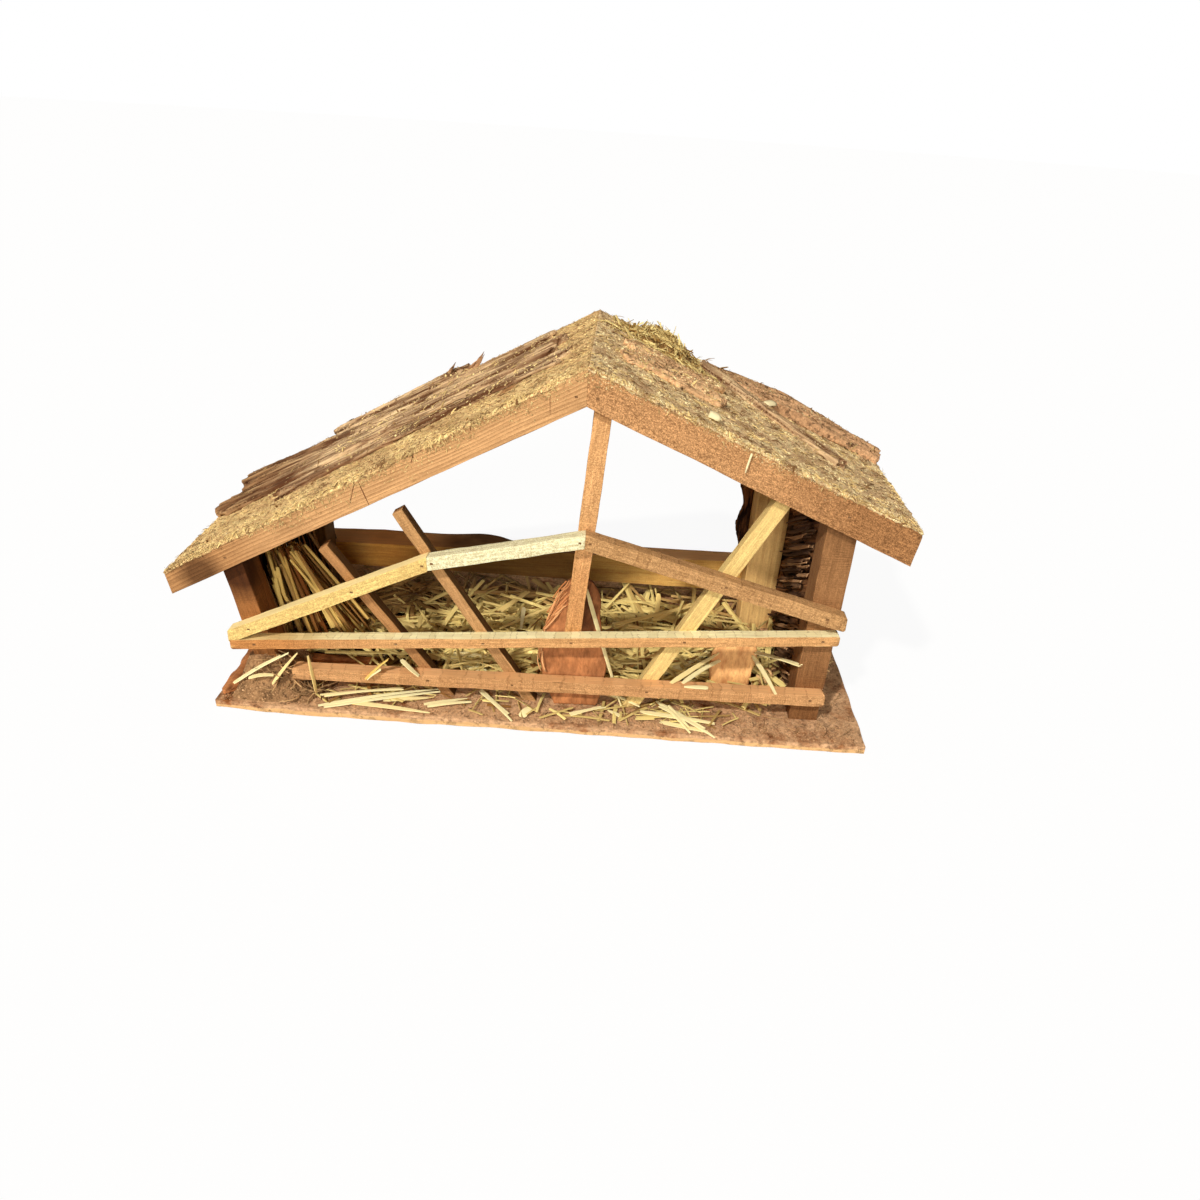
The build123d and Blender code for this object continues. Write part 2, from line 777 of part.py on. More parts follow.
def arch_left_lower():
    """The lowest strip of the arch. Its foot is trimmed where it sits on the mid rail."""
    outline = strip_outline(*arch_left_lower_line, arch_height)
    seat = prism(strip_outline(*mid_rail_line, mid_rail_height), rail_front, frame_front)
    radii = [rail_corner_radius, 0, 0, rail_corner_radius]
    return prism(outline, rail_front, frame_front, radii) - seat - rail_brads


def arch_left_upper():
    return prism(strip_outline(*arch_left_upper_line, arch_height), rail_front, frame_front) - rail_brads


def arch_right():
    outline = strip_outline(*arch_right_line, arch_right_height)
    radii = [0, rail_corner_radius, rail_corner_radius, 0]
    return prism(outline, rail_front, frame_front, radii) - rail_brads


def strut(line, width):
    """A square-topped strut whose foot is cut level on the base."""
    (x0, z0), (x1, z1) = line
    length = hypot(x1 - x0, z1 - z0)
    run = ((x1 - x0) / length, (z1 - z0) / length)
    half_foot = width / 2 / run[1]
    side = (run[1] * width / 2, -run[0] * width / 2)
    outline = [(x0 - half_foot, z0), (x0 + half_foot, z0),
               (x1 + side[0], z1 + side[1]), (x1 - side[0], z1 - side[1])]
    return prism(outline, frame_front, frame_front + strut_depth) - rail_brads


def strut_left_outer():
    return strut(outer_strut_line, outer_strut_width)


def strut_left_inner():
    return strut(inner_strut_line, inner_strut_width)


def strut_right():
    """The right strut ends behind the right gable board."""
    board_middle = ((ridge[0], ridge[1] + ridge_board_height / 3),
                    (right_eave[0], right_eave[1] + right_eave_board_height / 3))
    top = crossing(right_strut_line, board_middle)
    return strut((right_strut_line[0], top), right_strut_width)


def king_post():
    """The king post hangs from the ridge beam down to the back of the mid rail."""
    half = king_post_width / 2
    foot = king_foot[1] - mid_rail_height / 2
    top = crossing(king_line, ((beam_left, beam_level), (beam_right, beam_level)))
    outline = [(king_foot[0] - half, foot), (king_foot[0] + half, foot),
               (top[0] + half, top[1]), (top[0] - half, top[1])]
    return prism(outline, frame_front, frame_front + king_post_depth) - rail_brads


# Bark chunks and straw on the floor

def leaning_chunk(width, height, middle, front, lean, outline_shares):
    """A flat chunk of bark on its foot, leaning back, with a rounded outline in shares of its size."""
    edge = Spline(*[((x_share - 1 / 2) * width, 0, z_share * height) for x_share, z_share in outline_shares])
    foot = Line(edge @ 1, edge @ 0)
    slab = extrude(make_face([edge, foot]), amount=chunk_thickness, dir=(0, 1, 0))
    placed = Pos(middle, front_edge + front, floor_level) * Rot(-lean, 0, 0) * slab
    below = Box(2 * width, 2 * height, height, align=(Align.CENTER, Align.CENTER, Align.MAX))
    return placed - Pos(middle, front_edge + front, floor_level) * below


def bark_chunk_centre():
    outline_shares = ((0.31, -0.1), (0.1, 0.18), (0, 0.37), (0.03, 0.52), (0.12, 0.68), (0.26, 0.85),
                      (0.42, 0.99), (0.62, 0.99), (0.79, 0.91), (0.85, 0.68), (0.97, 0.41), (0.95, 0.2), (0.83, -0.1))
    return leaning_chunk(chunk_width, chunk_height, chunk_middle, chunk_front,
                         chunk_lean_angle, outline_shares)


def bark_chunk_right():
    outline_shares = ((0.06, -0.12), (0, 0.4), (0.16, 0.9), (0.56, 1), (0.94, 0.92), (1, 0.5), (0.92, -0.12))
    return leaning_chunk(right_chunk_width, right_chunk_height, right_chunk_middle, right_chunk_front,
                         right_chunk_lean_angle, outline_shares)


def bark_chunk_left():
    near_end_shares = (0.1, 0, 0.06)
    far_end_shares = (0.04, 0.1, 0, 0.08)
    side_shares = (0.06, 0.02)
    slab = bark_slab(left_chunk_length, left_chunk_width, left_chunk_thickness, 3,
                     near_end_shares, far_end_shares, side_shares)
    return Pos(left_chunk_middle - left_chunk_length / 2, front_edge + left_chunk_front, floor_level) * slab


def left_edge_bark():
    near_end_shares = (0.1, 0.02, 0, 0.08)
    far_end_shares = (0.1, 0, 0.14, 0.04)
    side_shares = (0.06, 0.16, 0.04)
    slab = bark_slab(edge_bark_length, edge_bark_width, edge_bark_thickness, 3,
                     near_end_shares, far_end_shares, side_shares)
    corner = Pos(-base_width / 2 + edge_bark_width, front_edge + edge_bark_front, floor_level)
    return corner * Rot(0, 0, 90) * slab


def straw_bed():
    """A low bed of straw between the walls, with an uneven outline."""
    left = -rear_left_post_reach + rear_left_post_width + straw_side_clearance
    right = rear_right_post_reach - rear_right_post_width - straw_side_clearance
    front = front_edge + straw_front
    back = frame_back - straw_back_clearance
    outline_shares = ((0.02, 0.1), (0.25, 0), (0.5, 0.06), (0.75, 0), (0.98, 0.12), (1, 0.6), (0.92, 0.98),
                      (0.6, 0.94), (0.3, 1), (0.06, 0.96), (0, 0.5))
    points = [(left + x_share * (right - left), front + y_share * (back - front), floor_level)
              for x_share, y_share in outline_shares]
    bed = extrude(make_face(Polyline(*points, close=True)), amount=straw_thickness)
    return chamfer(bed.faces().sort_by(Axis.Z)[-1].edges(), straw_edge_chamfer)


parts = {
    "base_board": base_board(),
    "front_left_post": front_left_post(),
    "front_right_post": front_right_post(),
    "rear_left_post": rear_left_post(),
    "rear_right_post": rear_right_post(),
    "front_left_gable_board": left_gable_board(gable_front),
    "front_right_gable_board": right_gable_board(gable_front),
    "rear_left_gable_board": left_gable_board(frame_back),
    "rear_right_gable_board": right_gable_board(frame_back),
    "ridge_beam": ridge_beam(),
    "left_roof_panel": left_roof_panel(),
    "right_roof_panel": right_roof_panel(),
    "left_roof_bark_front": left_roof_bark_front(),
    "left_roof_bark_middle": left_roof_bark_middle(),
    "left_roof_bark_back": left_roof_bark_back(),
    "left_roof_bark_top": left_roof_bark_top(),
    "right_roof_bark_back": right_roof_bark_back(),
    "right_roof_bark_middle": right_roof_bark_middle(),
    "right_roof_bark_strip": right_roof_bark_strip(),
    "ridge_moss_clump": ridge_moss_clump(),
    "left_wall_bark_front": left_wall_bark_front(),
    "left_wall_bark_rear": left_wall_bark_rear(),
    "right_wall_bark_lower": right_wall_bark_lower(),
    "right_wall_bark_middle": right_wall_bark_middle(),
    "right_wall_bark_upper": right_wall_bark_upper(),
    "rear_left_bark": rear_left_bark(),
    "rear_right_bark": rear_right_bark(),
    "back_rail": back_rail(),
    "mid_rail": mid_rail(),
    "lower_rail": lower_rail(),
    "arch_left_lower": arch_left_lower(),
    "arch_left_upper": arch_left_upper(),
    "arch_right": arch_right(),
    "strut_left_outer": strut_left_outer(),
    "strut_left_inner": strut_left_inner(),
    "strut_right": strut_right(),
    "king_post": king_post(),
    "bark_chunk_centre": bark_chunk_centre(),
    "bark_chunk_right": bark_chunk_right(),
    "bark_chunk_left": bark_chunk_left(),
    "left_edge_bark": left_edge_bark(),
    "straw_bed": straw_bed(),
    "rail_brads": pieces(*rail_brads),
    "gable_brads": pieces(*gable_brads),
    "base_brads": pieces(*base_brads),
}

os.makedirs("parts", exist_ok=True)
for name, solid in parts.items():
    export_step(solid, f"parts/{name}.step")
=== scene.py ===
"""Nativity stable: the visible pieces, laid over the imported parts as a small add-on."""
import math
import random

import bmesh
import bpy
from mathutils import Euler, Matrix, Quaternion, Vector, noise
from mathutils.bvhtree import BVHTree


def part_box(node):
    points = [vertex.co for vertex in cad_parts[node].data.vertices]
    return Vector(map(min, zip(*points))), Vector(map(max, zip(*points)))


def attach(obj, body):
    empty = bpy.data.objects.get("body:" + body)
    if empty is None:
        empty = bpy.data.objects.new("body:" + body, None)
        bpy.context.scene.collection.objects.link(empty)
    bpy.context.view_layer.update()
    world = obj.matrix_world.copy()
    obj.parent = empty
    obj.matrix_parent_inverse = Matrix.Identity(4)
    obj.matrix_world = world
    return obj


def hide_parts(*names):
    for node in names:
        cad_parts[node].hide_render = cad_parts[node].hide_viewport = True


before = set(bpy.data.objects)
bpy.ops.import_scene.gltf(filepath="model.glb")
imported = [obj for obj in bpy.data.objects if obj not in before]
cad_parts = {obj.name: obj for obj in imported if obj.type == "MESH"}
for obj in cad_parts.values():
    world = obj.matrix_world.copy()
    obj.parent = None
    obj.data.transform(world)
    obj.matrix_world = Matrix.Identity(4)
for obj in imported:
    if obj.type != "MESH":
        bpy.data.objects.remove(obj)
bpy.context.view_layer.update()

bl_info = {
    "name": "Nativity stable",
    "version": (1, 0, 0),
    "blender": (4, 5, 0),
    "location": "View3D > Sidebar > Stable",
    "description": "Wood, bark, sawdust and straw of a small wooden stable",
    "category": "Object",
}

MM = 0.001
BASE_LOW, BASE_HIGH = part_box("base_board")
MIDDLE = (BASE_LOW.x + BASE_HIGH.x) / 2
FRONT, TOP = BASE_LOW.y, BASE_HIGH.z

# Roof lines in millimetres, at the top of the gable boards: eave and ridge as (x, height)
RIDGE = (15.0, 174.8)
LEFT_EAVE = (-181.5, 64.7)
RIGHT_EAVE = (168.0, 111.2)
ROOF_FRONT, ROOF_BACK = 11.6, 127.6


def at(x, y, z):
    """A place from millimetres right of the base's middle, behind its front edge and above its top."""
    return Vector((MIDDLE + x * MM, FRONT + y * MM, TOP + z * MM))


def tone(red, green, blue):
    """Linear colour of a display colour in 0 to 255."""
    def linear(part):
        part /= 255
        return part / 12.92 if part <= 0.04045 else ((part + 0.055) / 1.055) ** 2.4
    return (linear(red), linear(green), linear(blue))


def shade(colour, factor, warmth=0.0):
    """A darker or lighter colour; warmth takes more out of green and blue."""
    red, green, blue = colour[:3]
    return tuple(min(1.0, max(0.0, part)) for part in (
        red * factor, green * factor * (1 - 0.5 * warmth), blue * factor * (1 - warmth)))


# Properties

def colour(name, words, red, green, blue):
    return bpy.props.FloatVectorProperty(
        name=name, description=words, subtype='COLOR', size=3, min=0.0, max=1.0,
        default=tone(red, green, blue))


def length(name, words, millimetres):
    return bpy.props.FloatProperty(
        name=name, description=words, default=millimetres * MM, min=0.0, unit='LENGTH', subtype='DISTANCE')


def number(name, words, value, high=10.0):
    return bpy.props.FloatProperty(name=name, description=words, default=value, min=0.0, max=high)


def count(name, words, value):
    return bpy.props.IntProperty(name=name, description=words, default=value, min=0, max=20000)


class StableWood(bpy.types.PropertyGroup):
    """Colours of the sawn wood and the softness of its edges."""
    gable_left: colour("Left gable", "Left gable boards", 213, 166, 116)
    gable_right: colour("Right gable", "Right gable boards", 186, 140, 95)
    post_left: colour("Left post", "Front left post", 157, 104, 58)
    post_right: colour("Right post", "Front right post", 155, 112, 72)
    post_rear: colour("Rear posts", "Posts at the back", 250, 194, 126)
    arch_lower: colour("Lower arch strip", "Left lower strip of the arch", 238, 200, 128)
    arch_upper: colour("Upper arch strip", "Left upper strip of the arch", 244, 233, 186)
    arch_right: colour("Right arch strip", "Right strip of the arch", 191, 149, 101)
    mid_rail: colour("Mid rail", "Middle rail of the fence", 212, 162, 108)
    lower_rail: colour("Lower rail", "Lower rail of the fence", 204, 156, 107)
    king: colour("King post", "Post under the ridge", 218, 166, 113)
    strut: colour("Inner strut", "Left inner strut", 188, 145, 97)
    # The outer strut's colour is darker partly as painted shade
    strut_outer: colour("Outer strut", "Left outer strut", 174, 128, 82)
    strut_right: colour("Right strut", "Right strut", 244, 204, 134)
    # Partly painted light: the back rail's colour is as light as it goes, to make up for light the rail lacks
    back_rail: colour("Back rail", "Rail at the back with its wavy edge", 255, 190, 108)
    roof_board: colour("Roof boards", "Roof panels and ridge beam", 190, 140, 92)
    base_top: colour("Base top", "Top of the base board under sawdust", 208, 166, 126)
    base_edge: colour("Base edge", "Sawn edges of the base board", 222, 180, 128)
    edge_round: length("Edge rounding", "Rounding of the sawn edges", 0.3)
    edge_waver: length("Edge waver", "How far a sawn edge wanders", 0.28)


class StableBark(bpy.types.PropertyGroup):
    """Colours and roughness of the bark."""
    roof_light: colour("Roof bark, raised", "Raised fibres of the roof bark", 255, 210, 162)
    roof_dark: colour("Roof bark, cracks", "Cracks of the roof bark", 104, 66, 40)
    wall_light: colour("Wall bark, raised", "Raised fibres of the wall bark", 176, 122, 78)
    wall_dark: colour("Wall bark, cracks", "Cracks of the wall bark", 29, 10, 4)
    chunk: colour("Bark chunks", "Smooth red-brown chunks", 178, 117, 72)
    # Painted light: the right chunk gets a lighter copy of the chunk colour, as it stands in the light
    chunk_pale: colour("Pale chunk", "Right chunk, in the light", 255, 178, 118)
    cell: length("Bark cell", "Size of the cells of the bark meshes", 0.85)
    depth: length("Bark relief", "Depth of the relief in the bark", 1.1)


class StableLitter(bpy.types.PropertyGroup):
    """Straw, sawdust, fibres and chips."""
    sawdust: colour("Sawdust", "Sawdust on the left slope", 255, 200, 142)
    moss_dust: colour("Mossy sawdust", "Sawdust on the right slope", 255, 206, 158)
    fibre: colour("Fibres", "Curly wood fibres", 255, 192, 130)
    straw_pale: colour("Pale straw", "Palest straw", 255, 234, 152)
    straw_gold: colour("Golden straw", "Deepest straw", 140, 96, 46)
    clump: colour("Clump", "Moss and straw by the ridge", 216, 178, 118)
    straws: count("Straws", "Straws over the floor", 1500)
    roof_fibres: count("Roof fibres", "Fibres on each slope", 4000)
    roof_crumbs: count("Roof crumbs", "Crumbs of sawdust on each slope", 6500)
    floor_crumbs: count("Floor crumbs", "Crumbs of sawdust on the base", 6000)
    floor_fibres: count("Floor fibres", "Fine fibres on the base", 900)
    seed: bpy.props.IntProperty(name="Seed", description="Start of the scatter", default=11)


class StableStage(bpy.types.PropertyGroup):
    """Light and floor."""
    key: number("Key light", "Strength of the light from the upper left", 2.7, 20.0)
    key_colour: colour("Key colour", "Colour of the key light", 255, 251, 243)
    front: number("Front light", "Strength of the soft light from the front", 1.5, 20.0)
    top: number("Top light", "Strength of the soft light from above", 0.4, 20.0)
    fill: number("Fill light", "Strength of the light from all round", 0.1, 5.0)
    softness: bpy.props.FloatProperty(
        name="Softness", description="Width of the key light as seen from the stable",
        default=math.radians(3), subtype='ANGLE')
    fill_colour: colour("Fill colour", "Colour of the light from all round", 255, 232, 200)
    floor: colour("Floor", "Pale floor", 245, 244, 242)


# Shader nodes

def put(tree, kind, inputs=None, **settings):
    """Add a node, set it up and link or fill its inputs."""
    made = tree.nodes.new(kind)
    for name, value in settings.items():
        setattr(made, name, value)
    for name, value in (inputs or {}).items():
        socket = made.inputs[name]
        if isinstance(value, bpy.types.NodeSocket):
            tree.links.new(value, socket)
        else:
            socket.default_value = value
    return made


def math_node(tree, operation, first, second=0.0):
    return put(tree, 'ShaderNodeMath', {0: first, 1: second}, operation=operation).outputs[0]


def blend(tree, factor, first, second, kind='MIX'):
    """Mix two colours; plain tuples get an alpha."""
    full = [part if isinstance(part, bpy.types.NodeSocket) else (*part[:3], 1.0) for part in (first, second)]
    return put(tree, 'ShaderNodeMix', {0: factor, 6: full[0], 7: full[1]}, data_type='RGBA',
               blend_type=kind, clamp_factor=True).outputs[2]


def over(tree, base, mask, share, paint, kind='MIX'):
    """Lay a paint over a base colour, as far as a mask times a share allows."""
    return blend(tree, math_node(tree, 'MULTIPLY', mask, share), base, paint, kind)


def span(tree, value, low, high, to_low=0.0, to_high=1.0):
    return put(tree, 'ShaderNodeMapRange', {
        'Value': value, 'From Min': low, 'From Max': high, 'To Min': to_low, 'To Max': to_high}).outputs[0]


def cloud(tree, vector, scale, detail=4.0, roughness=0.6, distortion=0.0):
    return put(tree, 'ShaderNodeTexNoise', {
        'Vector': vector, 'Scale': scale, 'Detail': detail, 'Roughness': roughness,
        'Distortion': distortion}).outputs[0]


def stretched(tree, vector, share):
    """Coordinates drawn out along the first axis."""
    return put(tree, 'ShaderNodeVectorMath', {0: vector, 1: share}, operation='MULTIPLY').outputs[0]


def axis(tree, vector, index):
    """One of the three parts of a vector."""
    return put(tree, 'ShaderNodeSeparateXYZ', {0: vector}).outputs[index]


def here(tree):
    """Coordinates of a point in its own object."""
    return put(tree, 'ShaderNodeTexCoord').outputs["Object"]


def new_group(name, inputs, outputs):
    """A shader group with float and vector inputs and float outputs."""
    tree = bpy.data.node_groups.new(name, 'ShaderNodeTree')
    for title, kind, value in inputs:
        socket = tree.interface.new_socket(title, in_out='INPUT', socket_type=kind)
        if value is not None:
            socket.default_value = value
    for title in outputs:
        tree.interface.new_socket(title, in_out='OUTPUT', socket_type='NodeSocketFloat')
    return tree, put(tree, 'NodeGroupInput').outputs, put(tree, 'NodeGroupOutput').inputs


def link_all(tree, out, **values):
    """Link each value to the output of that name."""
    for title, value in values.items():
        tree.links.new(value, out[title])


def grain_group():
    """Lines, rings, saw marks and ticks of sawn wood whose grain runs along the first axis."""
    found = bpy.data.node_groups.get("Sawn grain")
    if found:
        return found
    tree, given, out = new_group("Sawn grain", [
        ("Vector", 'NodeSocketVector', None), ("Line Scale", 'NodeSocketFloat', 1000.0),
        ("Ring Scale", 'NodeSocketFloat', 150.0), ("Saw Scale", 'NodeSocketFloat', 260.0),
        ("Tick Scale", 'NodeSocketFloat', 120.0)],
        ["Line", "Ring", "Saw", "Patch", "Fuzz", "Tick", "Block"])
    where, ticks = given["Vector"], given["Tick Scale"]
    line = cloud(tree, stretched(tree, where, (0.035, 1.0, 1.0)), given["Line Scale"], 5.0, 0.7, 0.3)
    bend = cloud(tree, stretched(tree, where, (0.25, 1.0, 1.0)), 26.0, 2.0)
    sag = put(tree, 'ShaderNodeCombineXYZ', {'Z': math_node(tree, 'MULTIPLY', bend, 0.012)}).outputs[0]
    curved = put(tree, 'ShaderNodeVectorMath', {0: stretched(tree, where, (0.02, 0.8, 1.0)), 1: sag},
                 operation='ADD').outputs[0]
    ring = put(tree, 'ShaderNodeTexWave', {
        'Vector': curved, 'Scale': given["Ring Scale"], 'Distortion': 1.5, 'Detail': 2.0},
        wave_type='BANDS', bands_direction='DIAGONAL', wave_profile='SAW').outputs[1]
    saw = put(tree, 'ShaderNodeTexWave', {
        'Vector': stretched(tree, where, (1.0, 0.22, 0.22)), 'Scale': given["Saw Scale"],
        'Distortion': 5.0, 'Detail': 3.0, 'Detail Scale': 2.0},
        wave_type='BANDS', bands_direction='X').outputs[1]
    sawn = span(tree, cloud(tree, where, 90.0, 2.0), 0.42, 0.66)
    sway = math_node(tree, 'MULTIPLY', cloud(tree, where, 200.0, 3.0), 0.007)
    along = math_node(tree, 'ADD', axis(tree, where, 0), sway)
    cut = put(tree, 'ShaderNodeTexVoronoi', {'W': along, 'Scale': ticks}, voronoi_dimensions='1D',
              feature='DISTANCE_TO_EDGE').outputs["Distance"]
    worn = span(tree, cloud(tree, where, 240.0, 2.0), 0.4, 0.58)
    cell = put(tree, 'ShaderNodeTexVoronoi', {'W': along, 'Scale': ticks}, voronoi_dimensions='1D')
    link_all(
        tree, out, Line=line, Ring=ring,
        Saw=math_node(tree, 'MULTIPLY', saw, sawn),
        Patch=cloud(tree, where, 22.0, 3.0, 0.55),
        Fuzz=cloud(tree, stretched(tree, where, (0.5, 1.0, 1.0)), 900.0, 5.0, 0.85),
        Tick=math_node(tree, 'MULTIPLY', span(tree, cut, 0.0, 0.1, 1.0, 0.0), worn),
        Block=put(tree, 'ShaderNodeSeparateColor', {0: cell.outputs["Color"]}).outputs[0])
    return tree


def dust_group():
    """Crumbly sawdust: fine grit, larger flakes, drifts and pits."""
    found = bpy.data.node_groups.get("Sawdust")
    if found:
        return found
    tree, given, out = new_group("Sawdust", [
        ("Vector", 'NodeSocketVector', None), ("Scale", 'NodeSocketFloat', 900.0)],
        ["Grit", "Flake", "Drift", "Pit", "Height"])
    where, scale = given["Vector"], given["Scale"]
    grit = cloud(tree, where, scale, 6.0, 0.75)
    cells = put(tree, 'ShaderNodeTexVoronoi', {
        'Vector': where, 'Scale': math_node(tree, 'MULTIPLY', scale, 0.62)})
    flake = put(tree, 'ShaderNodeSeparateColor', {0: cells.outputs["Color"]}).outputs[0]
    pit = span(tree, cloud(tree, where, 280.0, 5.0, 0.72), 0.45, 0.3)
    rough = math_node(tree, 'ADD', math_node(tree, 'MULTIPLY', grit, 0.6),
                      math_node(tree, 'MULTIPLY', flake, 0.4))
    link_all(tree, out, Grit=grit, Flake=flake, Drift=cloud(tree, where, 55.0, 4.0, 0.65), Pit=pit,
             Height=math_node(tree, 'SUBTRACT', rough, pit))
    return tree


def bark_group():
    """Fibres, strips and cracks of bark whose fibres run along the first axis."""
    found = bpy.data.node_groups.get("Bark fibre")
    if found:
        return found
    tree, given, out = new_group("Bark fibre", [
        ("Vector", 'NodeSocketVector', None), ("Scale", 'NodeSocketFloat', 700.0)],
        ["Fibre", "Strip", "Crack", "Patch"])
    where, scale = given["Vector"], given["Scale"]
    drawn = stretched(tree, where, (0.05, 1.0, 1.0))
    wave = math_node(tree, 'SUBTRACT', cloud(tree, drawn, 260.0, 3.0, 0.6, 0.6), 0.5)
    link_all(
        tree, out, Fibre=cloud(tree, drawn, scale, 6.0, 0.75, 0.4),
        Strip=cloud(tree, stretched(tree, where, (0.06, 1.0, 1.0)),
                    math_node(tree, 'MULTIPLY', scale, 0.32), 3.0, 0.6, 0.5),
        Crack=span(tree, math_node(tree, 'ABSOLUTE', wave), 0.0, 0.035, 1.0, 0.0),
        Patch=cloud(tree, where, 45.0, 3.0))
    return tree


# Materials

# Colours to multiply with: blocks and cuts of the ticks, painted shade on the flanks that look right, and the
# darker left end of the left roof bark
BLOCK_TONE, TICK_TONE = (0.74, 0.68, 0.6), (0.34, 0.25, 0.18)
FLANK_SHADE_TONE, LEFT_END_TONE = (0.3, 0.26, 0.17), (0.62, 0.52, 0.43)
UNTURNED = (0.0, 0.0, 0.0)


def start_material(name, roughness=0.85):
    """A new material with an empty Principled shader."""
    made = bpy.data.materials.new(name)
    made.use_nodes = True
    tree = made.node_tree
    shader = tree.nodes["Principled BSDF"]
    shader.inputs["Roughness"].default_value = roughness
    shader.inputs["Specular IOR Level"].default_value = 0.18
    return made, tree, shader


def finish_material(tree, shader, base, height, depth):
    """Link the colour and a relief of the given depth in millimetres."""
    bump = put(tree, 'ShaderNodeBump', {'Height': height, 'Distance': depth * MM, 'Strength': 1.0})
    tree.links.new(base, shader.inputs["Base Color"])
    tree.links.new(bump.outputs[0], shader.inputs["Normal"])


def object_place(tree, turn, shift):
    """Object coordinates turned so that the grain runs along the first axis."""
    return put(tree, 'ShaderNodeMapping', {
        'Vector': here(tree), 'Location': shift, 'Rotation': turn}).outputs[0]


def group_node(tree, group, inputs):
    """A shader group with its inputs linked or filled."""
    return put(tree, 'ShaderNodeGroup', inputs, node_tree=group).outputs


def facing_up(tree):
    """How far a face looks upwards, from 0 to 1."""
    normal = put(tree, 'ShaderNodeNewGeometry').outputs["Normal"]
    return span(tree, axis(tree, normal, 2), 0.45, 0.8)


def stained_and_shaded(tree, base, stains_and_shade, patch):
    """Darken a colour around some places, with ragged rims: stains, and painted shade where a place stands in
    shade.
    """
    for place, radius, depth, factor, warmth in stains_and_shade:
        away = put(tree, 'ShaderNodeVectorMath', {0: here(tree), 1: place},
                   operation='DISTANCE').outputs["Value"]
        sway = math_node(tree, 'MULTIPLY', math_node(tree, 'SUBTRACT', patch, 0.5), radius)
        spot = span(tree, math_node(tree, 'ADD', away, sway), radius, 0.35 * radius)
        base = over(tree, base, spot, depth, shade((1.0, 1.0, 1.0), factor, warmth), 'MULTIPLY')
    return base


def wood_material(name, wood, turn, saw=0.3, fuzz=0.3, rings=0.35, ring_scale=150.0, dust=None, top=None,
                  ticks=None, stains_and_shade=(), dots=0.0, slant=0.0, flank_painted_shade=False):
    """Sawn wood with its grain along the piece; dust lies on upward faces.

    Ticks are (strength, number to a metre, share on the faces that do not look up) and a stain is
    (place, radius, depth, factor, warmth); some stains are the wood's own and some are painted shade.
    Dots add to the dashes, which run at a slant to the grain, and flank darkens the faces that look
    right, as painted shade.
    """
    made, tree, shader = start_material(name)
    where = object_place(tree, turn, tuple(noise.random_vector() * 0.3))
    grain = group_node(tree, grain_group(), {
        "Vector": where, "Ring Scale": ring_scale, "Tick Scale": ticks[1] if ticks else 120.0})
    line = span(tree, grain["Line"], 0.28, 0.74)
    base = blend(tree, line, shade(wood, 0.58, 0.14), shade(wood, 1.3))
    base = over(tree, base, math_node(tree, 'POWER', grain["Ring"], 2.2), rings, shade(wood, 0.5, 0.22))
    leaning = put(tree, 'ShaderNodeMapping', {'Vector': where, 'Rotation': (0.0, slant, 0.0)}).outputs[0]
    dash = span(tree, cloud(tree, stretched(tree, leaning, (0.18, 1.0, 1.0)), 950.0, 3.0, 0.8), 0.54, 0.7)
    base = over(tree, base, dash, 0.45 + dots, shade(wood, 0.55, 0.2))
    base = over(tree, base, span(tree, grain["Patch"], 0.5, 0.72), 0.4, shade(wood, 0.74, 0.12))
    base = over(tree, base, grain["Saw"], saw, shade(wood, 0.42, 0.25))
    base = over(tree, base, span(tree, grain["Fuzz"], 0.53, 0.64), fuzz, shade(wood, 1.45))
    base = over(tree, base, span(tree, grain["Fuzz"], 0.47, 0.36), 1.2 * fuzz, shade(wood, 0.42, 0.25))
    sparkle = cloud(tree, where, 1700.0, 2.0, 0.7)
    base = over(tree, base, span(tree, sparkle, 0.54, 0.64), 0.7 * fuzz, shade(wood, 1.7))
    base = over(tree, base, span(tree, sparkle, 0.46, 0.36), 0.8 * fuzz, shade(wood, 0.45, 0.2))
    if top is not None:
        base = blend(tree, facing_up(tree), base, blend(tree, line, shade(top, 0.75), shade(top, 1.1)))
    if ticks:
        strength, _, others = ticks
        cut = span(tree, facing_up(tree), 0.0, 1.0, others * strength, strength)
        base = over(tree, base, grain["Block"], cut, BLOCK_TONE, 'MULTIPLY')
        base = over(tree, base, grain["Tick"], cut, TICK_TONE, 'MULTIPLY')
    base = stained_and_shaded(tree, base, stains_and_shade, grain["Patch"])
    # Painted shade: faces that look right, away from the key light, are darkened
    if flank_painted_shade:
        normal = put(tree, 'ShaderNodeNewGeometry').outputs["Normal"]
        base = blend(tree, span(tree, axis(tree, normal, 0), 0.3, 0.6), base, FLANK_SHADE_TONE, 'MULTIPLY')
    if dust is not None:
        grit = group_node(tree, dust_group(), {"Vector": where})
        cover = math_node(tree, 'MULTIPLY', facing_up(tree), span(tree, grit["Grit"], 0.4, 0.56))
        base = blend(tree, cover, base, blend(tree, grit["Flake"], shade(dust, 0.7), shade(dust, 1.15)))
    height = math_node(tree, 'ADD', math_node(tree, 'MULTIPLY', line, 0.5),
                       math_node(tree, 'MULTIPLY', grain["Fuzz"], 0.5 * fuzz + 0.2))
    height = math_node(tree, 'SUBTRACT', height, math_node(tree, 'MULTIPLY', grain["Saw"], saw))
    finish_material(tree, shader, base, height, 0.3)
    return made


